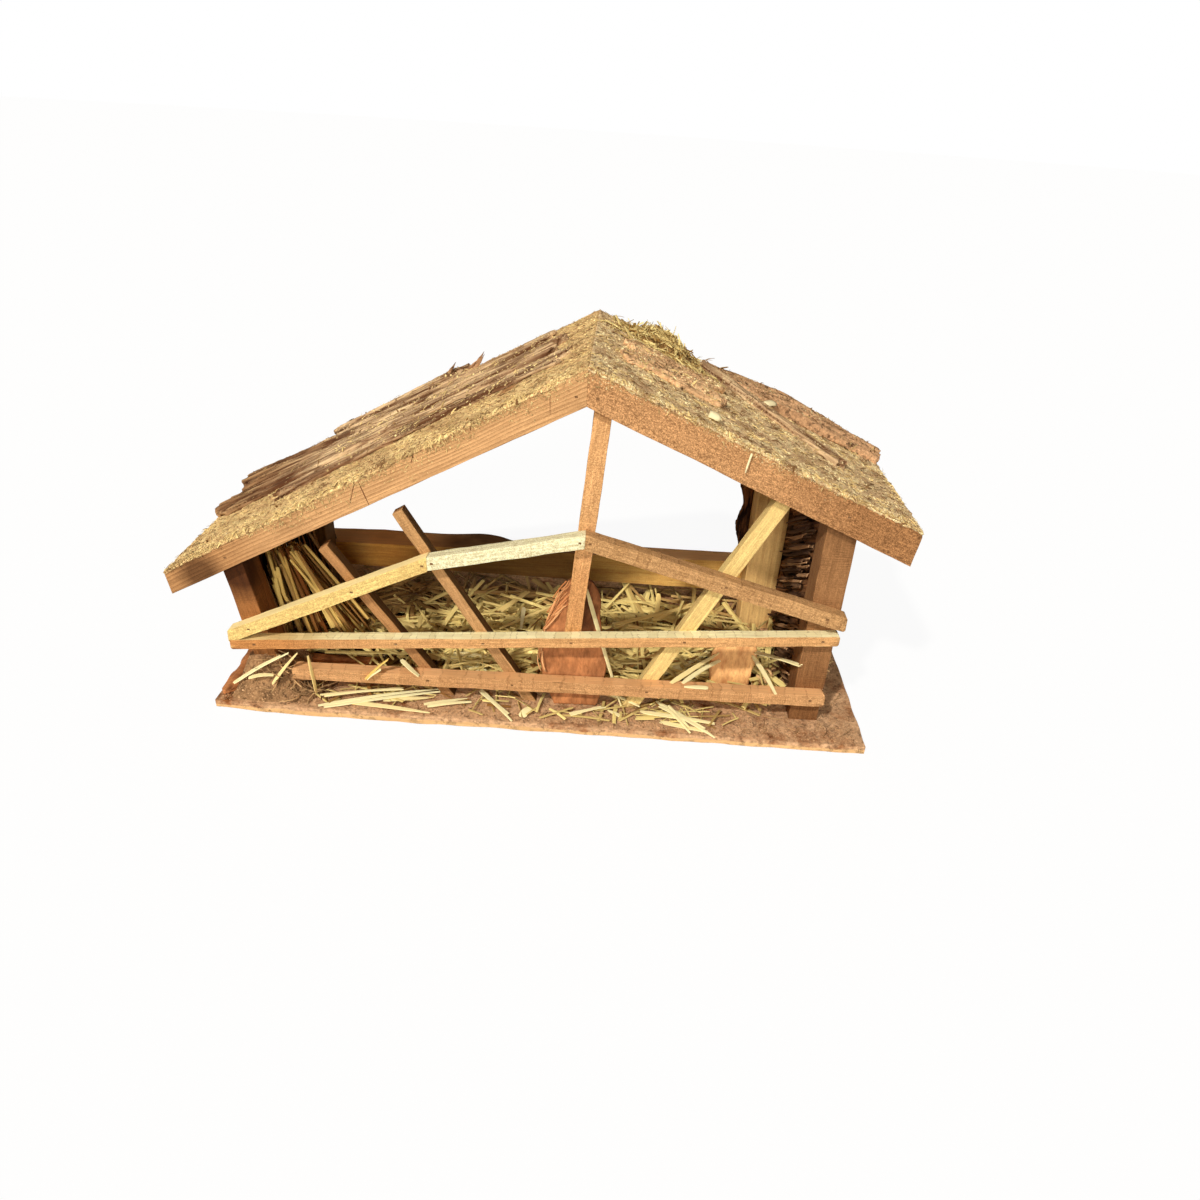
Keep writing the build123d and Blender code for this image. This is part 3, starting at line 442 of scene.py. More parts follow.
def base_material(wood_top, wood_edge):
    """Base board: sawdust on top, pale plywood at the sides."""
    made, tree, shader = start_material("base_ply")
    where = object_place(tree, UNTURNED, (0.2, 0.1, 0.3))
    grit = group_node(tree, dust_group(), {"Vector": where, "Scale": 800.0})
    grain = group_node(tree, grain_group(), {"Vector": where})
    layer = put(tree, 'ShaderNodeTexWave', {
        'Vector': where, 'Scale': 420.0, 'Distortion': 1.0},
        wave_type='BANDS', bands_direction='Z').outputs[1]
    edge = blend(tree, span(tree, grain["Line"], 0.3, 0.7), shade(wood_edge, 0.8, 0.1),
                 shade(wood_edge, 1.12))
    edge = over(tree, edge, layer, 0.25, shade(wood_edge, 0.6, 0.2))
    dirt = blend(tree, span(tree, grit["Grit"], 0.34, 0.66), shade(wood_top, 0.55, 0.15),
                 shade(wood_top, 1.15))
    dirt = over(tree, dirt, span(tree, grit["Flake"], 0.6, 1.0), 0.5, shade(wood_top, 1.35))
    dirt = blend(tree, span(tree, grit["Drift"], 0.5, 0.68), dirt, shade(wood_top, 0.7, 0.1), 'MULTIPLY')
    sway = math_node(tree, 'MULTIPLY', math_node(tree, 'SUBTRACT', grit["Drift"], 0.5), 0.004)
    high = math_node(tree, 'ADD', axis(tree, here(tree), 2), sway)
    spilt = span(tree, high, TOP - 2.5 * MM, TOP - 1.9 * MM)
    base = blend(tree, math_node(tree, 'MAXIMUM', facing_up(tree), spilt), edge, dirt)
    finish_material(tree, shader, base, grit["Height"], 0.7)
    return made


def bark_material(name, light, dark, turn, fade=None):
    """Fibrous bark; the low parts of the mesh relief take the crack colour as painted shade, and the bark
    grows darker towards the left between the two x of fade.
    """
    made, tree, shader = start_material(name, 0.9)
    where = object_place(tree, turn, tuple(noise.random_vector() * 0.3))
    bark = group_node(tree, bark_group(), {"Vector": where})
    relief = put(tree, 'ShaderNodeAttribute', attribute_name="relief").outputs["Fac"]
    fibre = span(tree, bark["Fibre"], 0.26, 0.74)
    middle = tuple((a + b) / 2 for a, b in zip(light, dark))
    base = blend(tree, fibre, shade(middle, 0.85), shade(light, 1.15))
    base = blend(tree, span(tree, bark["Strip"], 0.48, 0.62), base, shade(middle, 0.7, 0.1))
    thread = span(tree, cloud(tree, stretched(tree, where, (0.1, 1.0, 1.0)), 1500.0, 3.0, 0.8), 0.5, 0.64)
    base = over(tree, base, thread, 0.55, shade(middle, 0.5, 0.1))
    base = over(tree, base, bark["Crack"], 0.85, dark)
    # The low parts of the relief take the crack colour: partly the bark's dark cracks, partly painted shade
    base = blend(tree, span(tree, relief, 0.5, 0.12), base, dark)
    base = over(tree, base, span(tree, bark["Patch"], 0.52, 0.7), 0.5, shade(middle, 1.0, 0.1))
    if fade is not None:
        base = blend(tree, span(tree, axis(tree, here(tree), 0), *fade), base, LEFT_END_TONE, 'MULTIPLY')
    finish_material(tree, shader, base, math_node(tree, 'SUBTRACT', fibre, bark["Crack"]), 0.35)
    return made


def chunk_material(name, red, stains_and_shade=()):
    """Smooth red-brown inner bark with faint mottling, and painted shade in the low parts of its relief and
    in its dark patches.
    """
    made, tree, shader = start_material(name, 0.75)
    where = object_place(tree, UNTURNED, tuple(noise.random_vector() * 0.3))
    mottle = cloud(tree, stretched(tree, where, (1.0, 1.0, 0.45)), 150.0, 4.0, 0.65)
    grain = cloud(tree, stretched(tree, where, (1.0, 1.0, 0.3)), 900.0, 4.0, 0.7)
    base = blend(tree, span(tree, mottle, 0.32, 0.68), shade(red, 0.5, 0.15), shade(red, 1.35))
    base = over(tree, base, span(tree, grain, 0.5, 0.34), 0.5, shade(red, 0.5, 0.2))
    relief = put(tree, 'ShaderNodeAttribute', attribute_name="relief").outputs["Fac"]
    # Painted shade: the low parts of the relief are darkened
    base = blend(tree, span(tree, relief, 0.3, 0.05), base, shade(red, 0.3, 0.25))
    base = stained_and_shaded(tree, base, stains_and_shade, mottle)
    finish_material(tree, shader, base, grain, 0.2)
    return made


def dust_material(name, dust, scale=850.0, pits=0.6):
    """A coat of sawdust."""
    made, tree, shader = start_material(name, 0.95)
    grit = group_node(tree, dust_group(), {"Vector": here(tree), "Scale": scale})
    base = blend(tree, span(tree, grit["Grit"], 0.36, 0.62), shade(dust, 0.5, 0.2), shade(dust, 1.25))
    base = over(tree, base, span(tree, grit["Flake"], 0.55, 1.0), 0.6, shade(dust, 1.4))
    base = over(tree, base, span(tree, grit["Drift"], 0.48, 0.64), 0.6, shade(dust, 0.5, 0.15))
    base = over(tree, base, grit["Pit"], pits, shade(dust, 0.16, 0.3))
    finish_material(tree, shader, base, grit["Height"], 0.8)
    return made


def tint_material(name, pale, deep, lines=0.5, roughness=0.6):
    """Straw, fibres and crumbs: each one has its own tint, with lines along it."""
    made, tree, shader = start_material(name, roughness)
    tint = put(tree, 'ShaderNodeAttribute', attribute_name="tint").outputs["Fac"]
    across = put(tree, 'ShaderNodeUVMap', uv_map="UVMap").outputs[0]
    shift = put(tree, 'ShaderNodeCombineXYZ', {'X': math_node(tree, 'MULTIPLY', tint, 37.0)}).outputs[0]
    shifted = put(tree, 'ShaderNodeVectorMath', {0: stretched(tree, across, (2.0, 9.0, 1.0)), 1: shift},
                  operation='ADD').outputs[0]
    line = span(tree, cloud(tree, shifted, 1.0, 3.0, 0.7), 0.3, 0.7)
    base = blend(tree, tint, deep, pale)
    base = over(tree, base, math_node(tree, 'SUBTRACT', 1.0, line), lines, shade(deep, 0.62, 0.15))
    finish_material(tree, shader, base, line, 0.08)
    return made


def steel_material():
    """Rusty steel of the brads."""
    made, tree, shader = start_material("brad_steel", 0.5)
    shader.inputs["Metallic"].default_value = 0.6
    rust = cloud(tree, here(tree), 900.0, 3.0)
    finish_material(tree, shader, blend(tree, rust, tone(104, 72, 46), tone(150, 112, 76)), rust, 0.05)
    return made


# Meshes

# Angles beyond which edges are rounded or stay sharp, and the distance within which points are joined
ROUNDED_FROM = math.radians(35)
WOOD_CREASE, STRAW_CREASE, PLATE_CREASE = math.radians(38), math.radians(35), math.radians(30)
JOIN = 2e-6

# Straws: half their length in millimetres, and the bow, sag, sway, taper and width of each kind
HALF_STRAW = 25
STRAW_KINDS = ((1.2, 0.8, 0.6, 0.9, 3.0), (2.2, -0.6, -1.2, 0.75, 1.6), (0.4, 1.6, 1.6, 0.55, 2.0),
               (2.6, 0.2, 0.2, 1.0, 1.4), (0.8, 2.6, -0.8, 0.35, 1.2))
# Crumbs: how flat and how slim each kind is
CRUMB_KINDS = ((0.55, 0.8), (0.4, 0.5), (0.3, 0.7), (0.7, 0.9), (0.25, 0.35))

def new_piece(name, mesh, material=None, nodes=()):
    """A finished piece at the origin, riding on the root body."""
    piece = bpy.data.objects.new(name, mesh)
    bpy.context.scene.collection.objects.link(piece)
    if material is not None:
        mesh.materials.clear()
        mesh.materials.append(material)
    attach(piece, "root")
    if nodes:
        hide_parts(*nodes)
    return piece


def node_mesh(node):
    """The node's own shape as a joined-up bmesh in the shared frame."""
    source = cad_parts.get(node)
    if source is None:
        raise RuntimeError("no part named " + node)
    joined = bmesh.new()
    joined.from_mesh(source.data)
    joined.transform(source.matrix_world)
    bmesh.ops.remove_doubles(joined, verts=joined.verts, dist=JOIN)
    return joined


def to_mesh(name, shape, smooth=True):
    bmesh.ops.recalc_face_normals(shape, faces=shape.faces)
    mesh = bpy.data.meshes.new(name)
    shape.to_mesh(mesh)
    shape.free()
    mesh.shade_smooth() if smooth else mesh.shade_flat()
    return mesh


def with_modifier(name, mesh, kind, **settings):
    """The mesh after one modifier."""
    helper = bpy.data.objects.new(name, mesh)
    bpy.context.scene.collection.objects.link(helper)
    modifier = helper.modifiers.new(name, kind)
    for key, value in settings.items():
        setattr(modifier, key, value)
    view = bpy.context.evaluated_depsgraph_get()
    made = bpy.data.meshes.new_from_object(helper.evaluated_get(view))
    bpy.data.objects.remove(helper)
    return made


def softened(node, rounding, waver, cell=7.0):
    """The node's wood with rounded, slightly wandering edges."""
    shape = node_mesh(node)
    bmesh.ops.dissolve_limit(shape, angle_limit=math.radians(1), verts=shape.verts, edges=shape.edges)
    sharp = [edge for edge in shape.edges if edge.is_manifold and edge.calc_length() > 2.5 * MM
             and edge.calc_face_angle() > ROUNDED_FROM]
    bmesh.ops.bevel(shape, geom=sharp, offset=rounding, offset_type='OFFSET', segments=2, profile=0.5,
                    affect='EDGES', clamp_overlap=True)
    bmesh.ops.triangulate(shape, faces=shape.faces)
    for _ in range(6):
        long_edges = [edge for edge in shape.edges if edge.calc_length() > cell * MM]
        if not long_edges:
            break
        bmesh.ops.subdivide_edges(shape, edges=long_edges, cuts=1)
        bmesh.ops.triangulate(shape, faces=[face for face in shape.faces if len(face.verts) > 3])
    for vert in shape.verts:
        vert.co += noise.noise_vector(vert.co * 90) * waver
    mesh = to_mesh(node, shape)
    mesh.set_sharp_from_angle(angle=WOOD_CREASE)
    return mesh


def fibre_axes(along):
    """Turn that brings the fibre direction onto the first axis."""
    return along.normalized().rotation_difference(Vector((1, 0, 0))).to_matrix()


def carved_bark(node, along, cell, depth, seed, plates=1.0, cracks=1.0, ragged=0.0):
    """The node's bark cut into cells, with plates, fibres and cracks along its fibres."""
    mesh = with_modifier(node, to_mesh(node, node_mesh(node)), 'REMESH', mode='VOXEL', voxel_size=cell)
    turn = fibre_axes(along)
    shift = Vector((seed * 3.1, seed * 1.7, seed * 2.3))
    relief, places = [], []
    normals = [vert.normal.copy() for vert in mesh.vertices]
    for vert, normal in zip(mesh.vertices, normals):
        local = turn @ vert.co / MM
        u, v, w = local
        plate = noise.noise(Vector((u * 0.022, v * 0.16, w * 0.16)) + shift)
        step = math.floor(plate * 4.5) / 4.5
        fibre = noise.noise(Vector((u * 0.07, v * 0.75, w * 0.75)) + shift)
        split = abs(noise.noise(Vector((u * 0.014, v * 0.2, w * 0.2)) - shift))
        chip = noise.noise(Vector((u * 0.12, v * 0.3, w * 0.3)) - shift)
        cut = max(0.0, 1 - split / 0.07)
        push = plates * (0.75 * step + 0.25 * plate) + 0.4 * fibre + 0.25 * chip - 1.1 * cracks * cut
        push += ragged * noise.noise(vert.co * 130 + shift)
        places.append(vert.co + normal * push * depth)
        relief.append(min(1.0, max(0.0, 0.5 + 0.55 * push)))
    for vert, place in zip(mesh.vertices, places):
        vert.co = place
    # The relief is kept for the materials, which paint shade into its low parts
    mesh.attributes.new("relief", 'FLOAT', 'POINT').data.foreach_set("value", relief)
    mesh.shade_smooth()
    return mesh


def grid_shape(rows, columns, place):
    """A sheet of squares; place gives the point at a row and a column."""
    shape = bmesh.new()
    grid = [[shape.verts.new(place(row, column)) for column in range(columns + 1)] for row in range(rows + 1)]
    for row in range(rows):
        for column in range(columns):
            shape.faces.new((grid[row][column], grid[row][column + 1], grid[row + 1][column + 1],
                             grid[row + 1][column]))
    return shape


def strip(shape, path, widths, thickness, up=Vector((0, 0, 1)), bow=0.0, tint=0.5):
    """A closed ribbon along a path, with its length along U and its width along V."""
    uv = shape.loops.layers.uv.get("UVMap") or shape.loops.layers.uv.new("UVMap")
    layer = shape.verts.layers.float.get("tint") or shape.verts.layers.float.new("tint")
    rings = []
    for index, point in enumerate(path):
        before, after = path[max(0, index - 1)], path[min(len(path) - 1, index + 1)]
        ahead = (after - before).normalized()
        side = ahead.cross(up)
        side = side.normalized() if side.length > 1e-6 else Vector((0, 1, 0))
        lift = side.cross(ahead).normalized()
        half = widths[index] / 2
        ring = []
        for across, high in ((-1, 0), (0, bow), (1, 0), (1, -1), (0, bow - 1), (-1, -1)):
            vert = shape.verts.new(point + side * half * across + lift * thickness * (high + 0.5))
            vert[layer] = tint
            ring.append(vert)
        rings.append(ring)
    share = (0.0, 0.5, 1.0, 1.0, 0.5, 0.0)
    last = len(rings) - 1
    for index in range(last):
        for corner in range(6):
            other = (corner + 1) % 6
            ends = ((index, corner), (index, other), (index + 1, other), (index + 1, corner))
            face = shape.faces.new([rings[row][column] for row, column in ends])
            for loop, (row, column) in zip(face.loops, ends):
                loop[uv].uv = (row / last, share[column])
    for ring in (rings[0], rings[-1]):
        shape.faces.new(ring)


def bent(start, end, sag, steps, sway=0.0):
    """Points from start to end that bulge upwards by the sag and to the side by the sway."""
    run = end - start
    side = run.cross(Vector((0, 0, 1)))
    side = side.normalized() if side.length > 1e-9 else Vector((1, 0, 0))
    return [start + run * (i / steps) + (Vector((0, 0, sag)) + side * sway) * math.sin(math.pi * i / steps)
            for i in range(steps + 1)]


def straw_shapes():
    """Flat, folded, thin and frayed straws, all of one length."""
    made = []
    for index, (bow, sag, sway, taper, width) in enumerate(STRAW_KINDS):
        shape = bmesh.new()
        path = bent(Vector((-HALF_STRAW, 0, 0)) * MM, Vector((HALF_STRAW, 0, 0)) * MM, sag * MM, 6, sway * MM)
        widths = [width * MM * (1 - (1 - taper) * (i / 6) ** 2) for i in range(7)]
        strip(shape, path, widths, 0.4 * MM, bow=bow)
        mesh = to_mesh("straw_%d" % index, shape)
        mesh.set_sharp_from_angle(angle=STRAW_CREASE)
        made.append(mesh)
    return made


def fibre_shapes(rng):
    """Curly fibres one unit long."""
    made = []
    for index in range(6):
        shape = bmesh.new()
        shape.loops.layers.uv.new("UVMap")
        bend, curl = rng.uniform(0.02, 0.22), rng.uniform(0.03, 0.14)
        rings = []
        for i, wide in enumerate((0.03, 0.05, 0.055, 0.045, 0.015)):
            share = i / 4
            x, y = share - 0.5, bend * math.sin(math.pi * share)
            z = 0.03 + curl * math.sin(math.pi * (0.4 + index * 0.25) * share)
            rings.append([shape.verts.new((x, y + wide * a, z + wide * b)) for a, b in
                          ((-0.6, -0.3), (0.6, -0.3), (0.0, 0.4))])
        for near, far in zip(rings, rings[1:]):
            for corner in range(3):
                other = (corner + 1) % 3
                shape.faces.new((near[corner], near[other], far[other], far[corner]))
        shape.faces.new(rings[0])
        shape.faces.new(rings[-1])
        made.append(to_mesh("fibre_%d" % index, shape))
    return made


def flake_shapes(rng):
    """Flat, slightly curled flakes one unit long."""
    made = []
    for index, (wide, curl) in enumerate(((0.16, 0.05), (0.24, 0.1), (0.12, 0.2), (0.3, 0.04))):
        shape = bmesh.new()
        path = bent(Vector((-0.5, 0, 0.02)), Vector((0.5, 0, 0.02)), curl, 3, rng.uniform(-0.1, 0.1))
        strip(shape, path, [wide * part for part in (0.6, 1.0, 0.9, 0.4)], 0.03, bow=1.0)
        made.append(to_mesh("flake_%d" % index, shape, smooth=False))
    return made


def crumb_shapes(rng):
    """Small broken crumbs and chips one unit long."""
    made = []
    for index, (flat, slim) in enumerate(CRUMB_KINDS):
        shape = bmesh.new()
        bmesh.ops.create_icosphere(shape, subdivisions=1, radius=0.5)
        shape.loops.layers.uv.new("UVMap")
        for vert in shape.verts:
            vert.co = Vector((vert.co.x, vert.co.y * slim, vert.co.z * flat)) * rng.uniform(0.72, 1.25)
        made.append(to_mesh("crumb_%d" % index, shape, smooth=False))
    return made


# Scatter

def scatter_tree(material):
    """Geometry nodes: one of the shapes on every point, turned and sized by the point."""
    tree = bpy.data.node_groups.new("Scatter " + material.name, 'GeometryNodeTree')
    tree.interface.new_socket("Geometry", in_out='INPUT', socket_type='NodeSocketGeometry')
    tree.interface.new_socket("Shapes", in_out='INPUT', socket_type='NodeSocketCollection')
    tree.interface.new_socket("Size", in_out='INPUT', socket_type='NodeSocketFloat').default_value = 1.0
    tree.interface.new_socket("Geometry", in_out='OUTPUT', socket_type='NodeSocketGeometry')
    given = put(tree, 'NodeGroupInput').outputs
    shapes = put(tree, 'GeometryNodeCollectionInfo', {
        'Collection': given["Shapes"], 'Separate Children': True, 'Reset Children': True}).outputs[0]

    def named(title, kind):
        return put(tree, 'GeometryNodeInputNamedAttribute', {'Name': title}, data_type=kind).outputs[0]

    turn = put(tree, 'FunctionNodeEulerToRotation', {0: named("turn", 'FLOAT_VECTOR')}).outputs[0]
    size = put(tree, 'ShaderNodeVectorMath', {0: named("size", 'FLOAT_VECTOR'), 'Scale': given["Size"]},
               operation='SCALE').outputs[0]
    placed = put(tree, 'GeometryNodeInstanceOnPoints', {
        'Points': given["Geometry"], 'Instance': shapes, 'Pick Instance': True,
        'Instance Index': named("kind", 'INT'), 'Rotation': turn, 'Scale': size}).outputs[0]
    real = put(tree, 'GeometryNodeRealizeInstances', {0: placed}).outputs[0]
    done = put(tree, 'GeometryNodeSetMaterial', {'Geometry': real, 'Material': material}).outputs[0]
    put(tree, 'NodeGroupOutput', {0: done})
    return tree


def scatter(name, shapes, points, material, size=1.0):
    """A plain mesh of shapes over the points; a point is (place, turn, size, kind, tint)."""
    if not points:
        raise RuntimeError("nothing to scatter for " + name)
    folder = bpy.data.collections.new(name + "_shapes")
    helpers = []
    for mesh in shapes:
        if "tint" in mesh.attributes:
            mesh.attributes.remove(mesh.attributes["tint"])
        helper = bpy.data.objects.new(mesh.name, mesh)
        folder.objects.link(helper)
        helpers.append(helper)
    cloud_mesh = bpy.data.meshes.new(name)
    cloud_mesh.from_pydata([tuple(point[0]) for point in points], [], [])
    for title, kind, column in (("turn", 'FLOAT_VECTOR', 1), ("size", 'FLOAT_VECTOR', 2), ("kind", 'INT', 3),
                                ("tint", 'FLOAT', 4)):
        layer = cloud_mesh.attributes.new(title, kind, 'POINT')
        if kind == 'FLOAT_VECTOR':
            layer.data.foreach_set("vector", [part for point in points for part in point[column]])
        else:
            layer.data.foreach_set("value", [point[column] for point in points])
    tree = scatter_tree(material)
    holder = bpy.data.objects.new(name, cloud_mesh)
    bpy.context.scene.collection.objects.link(holder)
    modifier = holder.modifiers.new("Scatter", 'NODES')
    modifier.node_group = tree
    keys = {item.name: item.identifier for item in tree.interface.items_tree if item.in_out == 'INPUT'}
    modifier[keys["Shapes"]] = folder
    modifier[keys["Size"]] = size
    view = bpy.context.evaluated_depsgraph_get()
    mesh = bpy.data.meshes.new_from_object(holder.evaluated_get(view))
    for helper in [holder] + helpers:
        bpy.data.objects.remove(helper)
    bpy.data.collections.remove(folder)
    for title in ("turn", "size", "kind"):
        if title in mesh.attributes:
            mesh.attributes.remove(mesh.attributes[title])
    mesh.name = name
    if not mesh.polygons:
        raise RuntimeError("empty scatter " + name)
    return mesh


def surface(objects):
    """One search tree over the faces of several pieces."""
    verts, faces = [], []
    for item in objects:
        offset = len(verts)
        verts.extend(item.matrix_world @ vert.co for vert in item.data.vertices)
        faces.extend([offset + index for index in face.vertices] for face in item.data.polygons)
    return BVHTree.FromPolygons(verts, faces)


def lying(normal, spin, tilt=0.0):
    """Euler turn of something that lies on a face, spun about the face's normal."""
    turn = normal.to_track_quat('Z', 'Y') @ Quaternion((0, 0, 1), spin) @ Quaternion((0, 1, 0), tilt)
    return tuple(turn.to_euler())


def built(*names):
    """Pieces made by earlier operators."""
    found = [bpy.data.objects.get(name) for name in names]
    if None in found:
        raise RuntimeError("a piece is missing: " + ", ".join(names))
    return found


# Dark patches of the wood and of a chunk, stains and painted shade: place, radius, depth, factor and warmth
STAINS_AND_PAINTED_SHADE = {
    "front_left_gable_board": (
        (at(-176.0, 11.6, 60.0), 66 * MM, 0.85, 0.66, 0.25),
        (at(-163.5, 11.6, 65.0), 13 * MM, 0.9, 0.26, 0.4),
        (at(-118.0, 11.6, 92.0), 12 * MM, 0.25, 0.4, 0.35)),
    "front_right_gable_board": ((at(152.0, 11.6, 112.0), 62 * MM, 0.7, 0.52, 0.35),),
    # Painted shade: the shadow of the left gable board on the top of the front left post
    "front_left_post": ((at(-149.0, 17.1, 66.0), 22 * MM, 0.9, 0.13, 0.95),),
    # Painted shade: the first patch darkens the top of the front right post under its gable board; the second
    # darkens its foot
    "front_right_post": (
        (at(137.0, 17.1, 112.0), 20 * MM, 0.55, 0.35, 0.3),
        (at(133.0, 17.1, 14.0), 32 * MM, 0.7, 0.58, 0.35)),
    "king_post": ((at(12.0, 14.0, 55.0), 42 * MM, 0.8, 0.84, 0.25),),
    # Painted shadow: the first patch darkens the middle of the back rail, shaded by the arch and roof; the
    # second darkens and warms its left part
    "back_rail": (
        (at(-28.0, 131.0, 20.0), 82 * MM, 0.95, 0.16, 0.45),
        (at(-98.0, 131.0, 22.0), 42 * MM, 0.8, 0.85, 0.6)),
    # Painted shadow: the king post's shadow on the upper right of the centre chunk
    "bark_chunk_centre": (
        (at(21.4, 31.7, 60.0), 13 * MM, 0.9, 0.36, 0.3),
        (at(24.5, 27.9, 46.0), 12 * MM, 0.85, 0.42, 0.3)),
    "mid_rail": ((at(-140.0, 9.0, 40.0), 62 * MM, 0.85, 0.8, 0.45),),
    # Painted shade: the rear left post is darkened all over, as it stands in the shade of the left wall
    "rear_left_post": ((at(-132.0, 112.0, 45.0), 140 * MM, 0.9, 0.2, 0.4),),
}
# Marks across strips, what is added to the dashes with their slant, and colours of upward faces
TICKS = {"mid_rail": (0.55, 240.0, 0.3), "lower_rail": (0.5, 150.0, 0.9), "arch_right": (0.5, 165.0, 1.0)}
DOTS = {"front_left_gable_board": (-0.35, 0.0), "front_right_gable_board": (-0.2, 0.0),
        "arch_left_upper": (0.4, 0.0), "arch_left_lower": (0.2, 0.0),
        "front_right_post": (0.35, math.radians(28))}
TOPS = {"back_rail": tone(240, 188, 132), "mid_rail": tone(255, 238, 188),
        "arch_left_lower": tone(252, 224, 160), "lower_rail": tone(226, 172, 118)}

# Sawn pieces: node, slot, colour, slope of the grain in the front view, saw marks, fuzz, ring scale
WOOD = (
    ("front_left_gable_board", "gable_wood", "gable_left", 28.9, 0.12, 0.2, 340.0),
    ("front_right_gable_board", "gable_wood", "gable_right", -22.8, 0.15, 1.0, 340.0),
    ("rear_left_gable_board", "gable_wood", "gable_left", 28.9, 0.12, 0.5, 340.0),
    ("rear_right_gable_board", "gable_wood", "gable_right", -22.8, 0.15, 1.0, 340.0),
    ("front_left_post", "post_wood", "post_left", 100.3, 0.3, 0.3, 120.0),
    ("front_right_post", "post_wood", "post_right", 90.0, 0.5, 0.35, 120.0),
    ("rear_left_post", "post_wood", "post_rear", 90.0, 0.2, 0.2, 120.0),
    ("rear_right_post", "post_wood", "post_rear", 90.0, 0.2, 0.2, 120.0),
    ("king_post", "rail_wood", "king", 85.5, 0.3, 0.6, 150.0),
    ("mid_rail", "rail_wood", "mid_rail", 5.0, 0.3, 0.5, 160.0),
    ("lower_rail", "rail_wood", "lower_rail", 1.0, 0.3, 0.5, 160.0),
    ("arch_left_lower", "rail_wood", "arch_lower", 25.5, 0.2, 0.55, 200.0),
    ("arch_left_upper", "rail_wood", "arch_upper", 13.0, 0.25, 0.7, 220.0),
    ("arch_right", "rail_wood", "arch_right", -15.3, 0.3, 0.6, 180.0),
    ("strut_left_outer", "rail_wood", "strut_outer", 125.3, 0.3, 0.3, 150.0),
    ("strut_left_inner", "rail_wood", "strut", 121.9, 0.3, 0.3, 150.0),
    ("strut_right", "rail_wood", "strut_right", 62.9, 0.12, 0.3, 150.0),
    ("back_rail", "rail_wood", "back_rail", 1.1, 0.15, 0.2, 110.0),
)

# Boards of the roof with the turn of their grain
ROOF_BOARDS = (("ridge_beam", (0.0, 0.0, -math.pi / 2)), ("left_roof_panel", (0.0, math.radians(29), 0.0)),
               ("right_roof_panel", (0.0, math.radians(-22.6), 0.0)))
# How far the top of the base's front edge comes forward, and how far back that is felt
BULGE, BULGE_DEPTH = 1.9 * MM, 30 * MM

LEFT_SLOPE = Vector((RIDGE[0] - LEFT_EAVE[0], 0, RIDGE[1] - LEFT_EAVE[1])).normalized()
RIGHT_SLOPE = Vector((RIGHT_EAVE[0] - RIDGE[0], 0, RIGHT_EAVE[1] - RIDGE[1])).normalized()
SKEW = math.radians(41)
SLANT = (RIGHT_SLOPE * math.cos(SKEW) - Vector((0, 1, 0)) * math.sin(SKEW)).normalized()
UPRIGHT, DEEP, WIDE = Vector((0, 0, 1)), Vector((0, 1, 0)), Vector((1, 0, 0))
SLOPING = Vector((0, 1, -0.53)).normalized()

# Bark: node, slot, look, fibre direction, plates, cracks
BARK = (
    ("left_roof_bark_front", "bark", "roof", LEFT_SLOPE, 1.2, 1.0),
    ("left_roof_bark_middle", "bark", "roof", LEFT_SLOPE, 1.3, 1.0),
    ("left_roof_bark_back", "bark", "roof", LEFT_SLOPE, 1.4, 1.0),
    ("left_roof_bark_top", "bark", "roof", LEFT_SLOPE, 1.2, 1.0),
    ("right_roof_bark_back", "bark", "roof", RIGHT_SLOPE, 1.2, 1.0),
    ("right_roof_bark_middle", "bark", "roof", RIGHT_SLOPE, 1.0, 0.8),
    ("right_roof_bark_strip", "bark", "roof", SLANT, 0.8, 0.9),
    ("left_wall_bark_front", "bark", "dim", UPRIGHT, 1.2, 1.0),
    ("left_wall_bark_rear", "bark", "dim", UPRIGHT, 1.2, 1.0),
    ("right_wall_bark_lower", "bark", "wall", SLOPING, 1.2, 1.0),
    ("right_wall_bark_middle", "bark", "wall", SLOPING, 1.2, 1.0),
    ("right_wall_bark_upper", "bark", "wall", SLOPING, 1.2, 1.0),
    ("rear_left_bark", "bark", "dim", UPRIGHT, 1.2, 1.0),
    ("rear_right_bark", "bark", "rear", UPRIGHT, 1.2, 1.0),
    ("left_edge_bark", "red_bark", "chunk", DEEP, 0.4, 0.15),
    ("bark_chunk_centre", "red_bark", "chunk", UPRIGHT, 0.25, 0.1),
    ("bark_chunk_right", "red_bark", "pale", UPRIGHT, 0.25, 0.1),
    ("bark_chunk_left", "red_bark", "chunk", WIDE, 0.25, 0.1),
)
ROOF_BARK = [row[0] + "_bark" for row in BARK if "roof" in row[2]]
# Slabs under sawdust with the shade of it, and where the left slope grows darker towards its left end
DUSTY = {"right_roof_bark_middle": 0.85, "right_roof_bark_back": 0.62}
FADE = (at(-120, 0, 0).x, at(-165, 0, 0).x)
